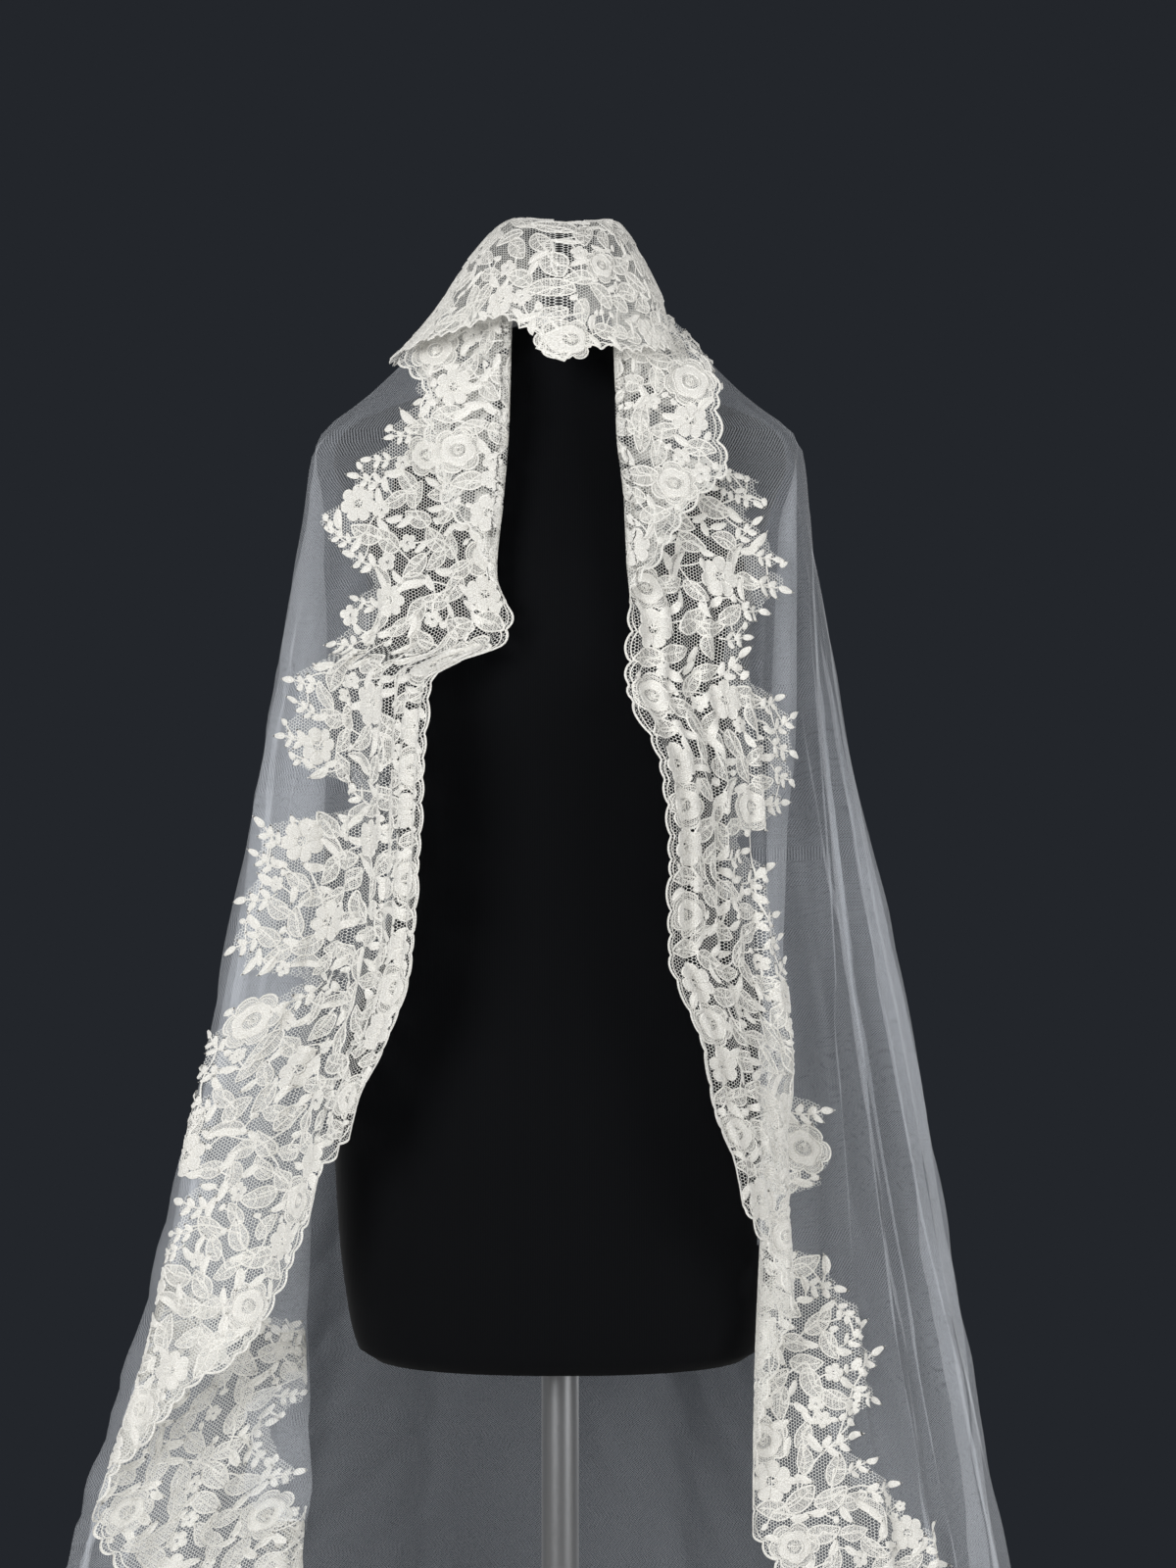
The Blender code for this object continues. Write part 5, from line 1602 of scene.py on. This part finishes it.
def crown_lace():
    """The crown's net ground and its flowers."""
    turns = np.linspace(-math.pi, math.pi, CROWN_TURNS)
    rim_line = round_place(turns, crown.edge(turns))
    rim = scalloped(rim_line, -1)
    angle = np.unwrap(np.arctan2(rim[:, 0], -rim[:, 1]))
    far = np.hypot(rim[:, 0], rim[:, 1])
    angle = np.append(angle[::2], angle[0] + 2 * math.pi)  # the last row meets the first
    far = np.append(far[::2], far[0])
    share = np.linspace(0, 1, CROWN_COLUMNS)[None, :]
    reach = np.full((len(angle), 1), CROWN_MIDDLE) * (1 - share) + far[:, None] * share
    flat = round_place(angle[:, None], reach).reshape(-1, 2)
    faces = grid_faces(len(angle), CROWN_COLUMNS)
    hung = crown.hang(flat, np.zeros(len(flat)))
    ground = mesh_object("crown_lace_net", hung, faces, flat, lace_net)
    layout = crown_layout(37)
    motifs = set_down(layout)
    inner_rim = scalloped(rim_line * INNER_RIM_SHARE, -1, INNER_SCALLOP_DEPTH)
    points, faces, fill = stitched(motifs, layout.grow(), rim, inner_rim)
    flat, hung = points[:, :2], crown.hang(points[:, :2], points[:, 2] - INTO_NET)
    flowers = mesh_object("crown_lace_flowers", hung, faces, flat, lace_thread, fill)
    return ground, flowers


crown_ground, crown_flowers = crown_lace()
print("crown:", len(crown_flowers.data.polygons), "faces of lace,", round(area_of(crown_ground), 3), "m2")

# %% [markdown]
# ## The dress form
#
# The form is a padded body covered in black jersey, cut off flat at the neck, without
# arms. It has a metal plate on the neck and a round knob above it, which holds the
# crown of the veil up. Its rings are the CAD body's, drawn finer.

# %% Jersey, steel and lacquer
def jersey_material():
    """Smooth knitted cotton: matt and nearly black."""
    material, tree, shader = new_material("black cotton jersey")
    place = node(tree, "ShaderNodeTexCoord").outputs["Object"]
    knit_inputs = {"Vector": place, "Scale": 260.0, "Distortion": 1.5, "Detail": 2.0}
    knit = node(tree, "ShaderNodeTexWave", knit_inputs).outputs["Fac"]
    looks = {
        "Base Color": mixed(tree, noise(tree, place, 9.0, 4.0), BLACK_JERSEY, SEAM_BLACK),
        "Normal": bumped(tree, knit, 0.25, 0.0003),
        "Roughness": 0.9,
        "Specular IOR Level": 0.1,
    }
    set_inputs(tree, shader, looks)
    return material


def metal_material():
    """Satin steel, turned, so that fine rings run round it."""
    material, tree, shader = new_material("satin turned steel")
    rings = noise(tree, node(tree, "ShaderNodeTexCoord").outputs["Object"], 420.0, 2.0)
    looks = {"Base Color": linear(SATIN_STEEL), "Metallic": 1.0}
    set_inputs(tree, shader, {**looks, "Roughness": run_between(tree, rings, 0.0, 1.0, 0.28, 0.42)})
    return material


def lacquer_material(name, colour, roughness, grain):
    """Dark paint with the fine grain of powder coating."""
    material, tree, shader = new_material(name)
    speck = noise(tree, node(tree, "ShaderNodeTexCoord").outputs["Object"], grain, 3.0)
    looks = {"Base Color": linear(colour), "Roughness": roughness}
    set_inputs(tree, shader, {**looks, "Normal": bumped(tree, speck, 0.2, 0.0003)})
    return material


jersey = jersey_material()
steel = metal_material()
powder = lacquer_material("black powder-coated steel", POWDER_BLACK, 0.45, 900.0)
knob_black = lacquer_material("moulded black plastic", KNOB_BLACK, 0.38, 600.0)

# %% The padded body
TORSO = (
    ("z", "half_width", "front", "back"),
    (0.72, 0.14, 0.092, 0.104), (0.728, 0.152, 0.1, 0.112), (0.76, 0.16, 0.106, 0.12),
    (0.82, 0.167, 0.11, 0.126), (0.89, 0.17, 0.112, 0.124), (0.96, 0.16, 0.108, 0.111),
    (1.02, 0.138, 0.102, 0.096), (1.083, 0.122, 0.097, 0.086), (1.14, 0.126, 0.104, 0.087),
    (1.2, 0.137, 0.117, 0.092), (1.25, 0.143, 0.124, 0.096), (1.3, 0.145, 0.115, 0.1),
    (1.34, 0.154, 0.093, 0.102), (1.37, 0.164, 0.074, 0.094), (1.39, 0.171, 0.062, 0.082),
    (1.408, 0.168, 0.054, 0.068), (1.423, 0.153, 0.048, 0.057), (1.436, 0.122, 0.046, 0.052),
    (1.45, 0.084, 0.046, 0.05), (1.463, 0.055, 0.046, 0.048), (1.4897, 0.047, 0.047, 0.047),
)
TORSO_SQUARENESS = 2.3
TORSO_COLUMNS, TORSO_LEVEL = 160, 0.008
SEAM_TURNS = (0, 38, 90, 142, 180, 218, 270, 322)  # of the cover's panels, in degrees
SEAM_DEPTH, SEAM_WIDTH = 0.006, 0.02  # as a share of the radius, and in radians


def torso():
    """The padded body, from its underside to the neck, with sewn panel seams."""
    rows = rows_of(TORSO)
    levels = np.unique(np.concatenate([rows[:, 0], np.arange(rows[0, 0], rows[-1, 0], TORSO_LEVEL)]))
    turns = np.linspace(0.0, 2 * math.pi, TORSO_COLUMNS, endpoint=False)
    seams = np.radians(SEAM_TURNS)
    points = []
    for z in levels:
        width, front, back = columns_at(rows, z)
        square = 2.0 + (TORSO_SQUARENESS - 2.0) * float(soft_step(1.46, 1.43, z))
        x, y = rounded_square(turns, square)
        apart = np.abs((turns[:, None] - seams[None, :] + math.pi) % (2 * math.pi) - math.pi)
        groove = 1 - SEAM_DEPTH * np.exp(-((apart.min(axis=1) / SEAM_WIDTH) ** 2))
        depth = np.where(y > 0, front, back)
        level = np.full(len(turns), z)
        points.append(np.column_stack([width * x * groove, -y * depth * groove, level]))
    points = np.concatenate(points)
    rows_count, columns = len(levels), len(turns)
    steps = np.arange(columns)
    low, after = (
        (np.arange(rows_count - 1)[:, None] * columns + step[None, :] % columns).ravel()
        for step in (steps, steps + 1)
    )
    quads = np.column_stack([low, after, after + columns, low + columns])
    faces = [tuple(quad) for quad in quads.tolist()]
    faces.append(tuple(reversed(range(columns))))
    faces.append(tuple(range((rows_count - 1) * columns, rows_count * columns)))
    piece = mesh_object("padded_body", points, faces, points[:, [0, 2]], jersey)
    piece.data.set_sharp_from_angle(angle=math.radians(50))
    return piece


body = torso()


# %% Turned parts of the stand
def lathe(name, profile, material, steps=128):
    """A turned part: its profile of radii and heights runs from top to bottom."""
    shape = bmesh.new()
    line = [shape.verts.new((r, 0.0, z)) for r, z in profile]
    edges = [shape.edges.new(pair) for pair in zip(line, line[1:])]
    whole = {"cent": (0, 0, 0), "axis": (0, 0, 1), "angle": 2 * math.pi, "use_merge": True}
    bmesh.ops.spin(shape, geom=line + edges, steps=steps, **whole)
    bmesh.ops.remove_doubles(shape, verts=shape.verts, dist=1e-6)
    bmesh.ops.recalc_face_normals(shape, faces=shape.faces)
    mesh = bpy.data.meshes.new(name)
    shape.to_mesh(mesh)
    shape.free()
    mesh.materials.append(material)
    mesh.shade_smooth()
    mesh.set_sharp_from_angle(angle=math.radians(30))
    return placed_in_scene(name, mesh)


def rounded(corner_in, corner, corner_out, radius, steps=5):
    """An arc that rounds the corner of a profile."""
    corner_in, corner, corner_out = (np.array(c, float) for c in (corner_in, corner, corner_out))
    start, end = (corner + unit(mate - corner) * radius for mate in (corner_in, corner_out))
    shares = [k / steps for k in range(steps + 1)]
    return [tuple((1 - t) ** 2 * start + 2 * t * (1 - t) * corner + t**2 * end) for t in shares]


def plate_profile(low, high, radius, edge):
    """A round plate with softened edges."""
    top, bottom = (radius, high), (radius, low)
    shoulder = rounded((0, high), top, bottom, edge)
    return [(0, high), *shoulder, *rounded(top, bottom, (0, low), edge), (0, low)]


plate_low, plate_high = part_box("form_neck_plate")
knob_low, knob_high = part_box("form_knob")
pole_low, pole_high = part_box("stand_pole")
base_low, base_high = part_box("stand_base")
plate = lathe("neck_plate", plate_profile(plate_low.z, plate_high.z, plate_high.x, 0.0015), steel)
knob = lathe(
    "crown_knob",
    [
        (0, knob_high.z),
        *rounded((0, knob_high.z), (knob_high.x, knob_high.z), (knob_high.x, knob_high.z - 0.02), 0.006),
        (knob_high.x - 0.002, knob_high.z - 0.013),
        (knob_high.x - 0.008, knob_high.z - 0.019),
        (0.011, knob_high.z - 0.024),
        (0.011, knob_low.z + 0.006),
        (0.019, knob_low.z),
        (0, knob_low.z),
    ],
    knob_black,
)
pole = lathe("pole", plate_profile(pole_low.z, pole_high.z, pole_high.x, 0.0008), steel, 64)
base = lathe(
    "round_base",
    [
        (0, base_high.z),
        (0.055, base_high.z - 0.001),
        (base_high.x - 0.020, base_high.z - 0.0065),
        *rounded((0.1, base_high.z - 0.007), (base_high.x, base_high.z - 0.010), (base_high.x, 0), 0.006),
        *rounded((base_high.x, 0.01), (base_high.x, 0), (0, 0), 0.002),
        (0, 0),
    ],
    powder,
)
print("form and stand:", [o.name for o in (body, plate, knob, pole, base)])

# %% Hand the pieces to the frame
def belongs(piece, slot, *nodes):
    """A piece rides on the one body, and may stand for solids, which are hidden. Its slot is not used."""
    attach(piece, "root")
    if nodes:
        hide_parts(*nodes)


belongs(tulle_piece, "tulle", "tulle_left", "tulle_right")
belongs(left_ground, "lace", "lace_left_lapel", "lace_left_front")
belongs(left_flowers, "lace")
belongs(right_ground, "lace", "lace_right_lapel", "lace_right_front")
belongs(right_flowers, "lace")
belongs(crown_ground, "lace", "lace_crown")
belongs(crown_flowers, "lace")
belongs(body, "form_cover", "form_torso")
belongs(plate, "stand_metal", "form_neck_plate")
belongs(knob, "knob", "form_knob")
belongs(pole, "stand_metal", "stand_pole")
belongs(base, "stand_base", "stand_base")

# %% [markdown]
# ## Floor, light and camera
#
# White net shows best before a dark ground, so the studio is dark grey behind the
# object and its floor is a pale round. The light is soft: a large key from the front
# left, a weaker fill from the right, and two behind that bring out the net's folds.

# %% The studio
FLOOR_RADIUS, FLOOR_THICK, FLOOR_DROP = 2.0, 0.01, 0.0002
ROUND_LIGHT = 0.25  # strength of the light from all round


def studio_floor():
    """A plain pale floor, as a thin disc under the stand."""
    material, tree, shader = new_material("matt studio floor")
    mottle = noise(tree, node(tree, "ShaderNodeTexCoord").outputs["Object"], 3.0, 4.0)
    rough = run_between(tree, mottle, 0.0, 1.0, 0.75, 0.95)
    set_inputs(tree, shader, {"Base Color": linear(FLOOR_GREY), "Roughness": rough})
    top, bottom = 0.0, -FLOOR_THICK
    profile = [(0, top), (FLOOR_RADIUS, top), (FLOOR_RADIUS, bottom), (0, bottom)]
    floor = lathe("floor", profile, material)
    floor.data.transform(Matrix.Translation((0, 0, -FLOOR_DROP)))


def soft_light(name, place, aim, size, watts):
    """A large square lamp that looks at a point."""
    lamp = bpy.data.lights.new(name, "AREA")
    lamp.shape, lamp.size, lamp.energy = "SQUARE", size, watts
    holder = placed_in_scene(name, lamp)
    holder.location = place
    holder.rotation_euler = (Vector(aim) - Vector(place)).to_track_quat("-Z", "Y").to_euler()


def studio_world():
    """Soft light from all round, with a dark grey ground behind the object."""
    world = bpy.data.worlds.new("studio")
    world.use_nodes = True
    tree = world.node_tree
    tree.nodes.clear()
    white = {"Color": (1.0, 1.0, 1.0, 1.0), "Strength": ROUND_LIGHT}
    light = node(tree, "ShaderNodeBackground", white).outputs[0]
    dark = {"Color": linear(BACKDROP_GREY), "Strength": 1.0}
    ground = node(tree, "ShaderNodeBackground", dark).outputs[0]
    seen = node(tree, "ShaderNodeLightPath").outputs["Is Camera Ray"]
    shown = node(tree, "ShaderNodeMixShader", {0: seen, 1: light, 2: ground}).outputs[0]
    node(tree, "ShaderNodeOutputWorld", {"Surface": shown})
    bpy.context.scene.world = world


studio_floor()
studio_world()
for lamp_row in (  # name, place, aim, size and watts
    ("key", (-1.7, -2.7, 1.9), (0, 0, 1.1), 1.3, 80),
    ("fill", (2.4, -2.0, 1.5), (0, 0, 0.9), 1.6, 46),
    ("behind_left", (-1.7, 2.4, 1.4), (0, 0, 0.9), 1.4, 27),
    ("behind_right", (1.9, 2.2, 1.2), (0, 0, 0.8), 1.4, 33),
):
    soft_light(*lamp_row)
bpy.context.scene.view_settings.view_transform = "Standard"

# %% The camera
CAMERA_PLACE = (0.021, -2.4, 1.15)
FRAME_HEIGHT = 1.184  # of the view at the object's middle
FILM_HEIGHT = 24.0

lens = bpy.data.cameras.new("camera")
lens.sensor_fit = "AUTO"
lens.sensor_width = FILM_HEIGHT  # of the longer side
lens.lens = FILM_HEIGHT * abs(CAMERA_PLACE[1]) / FRAME_HEIGHT
camera = placed_in_scene("camera", lens)
camera.location = CAMERA_PLACE
camera.rotation_euler = (math.pi / 2, 0.0, 0.0)
bpy.context.scene.camera = camera
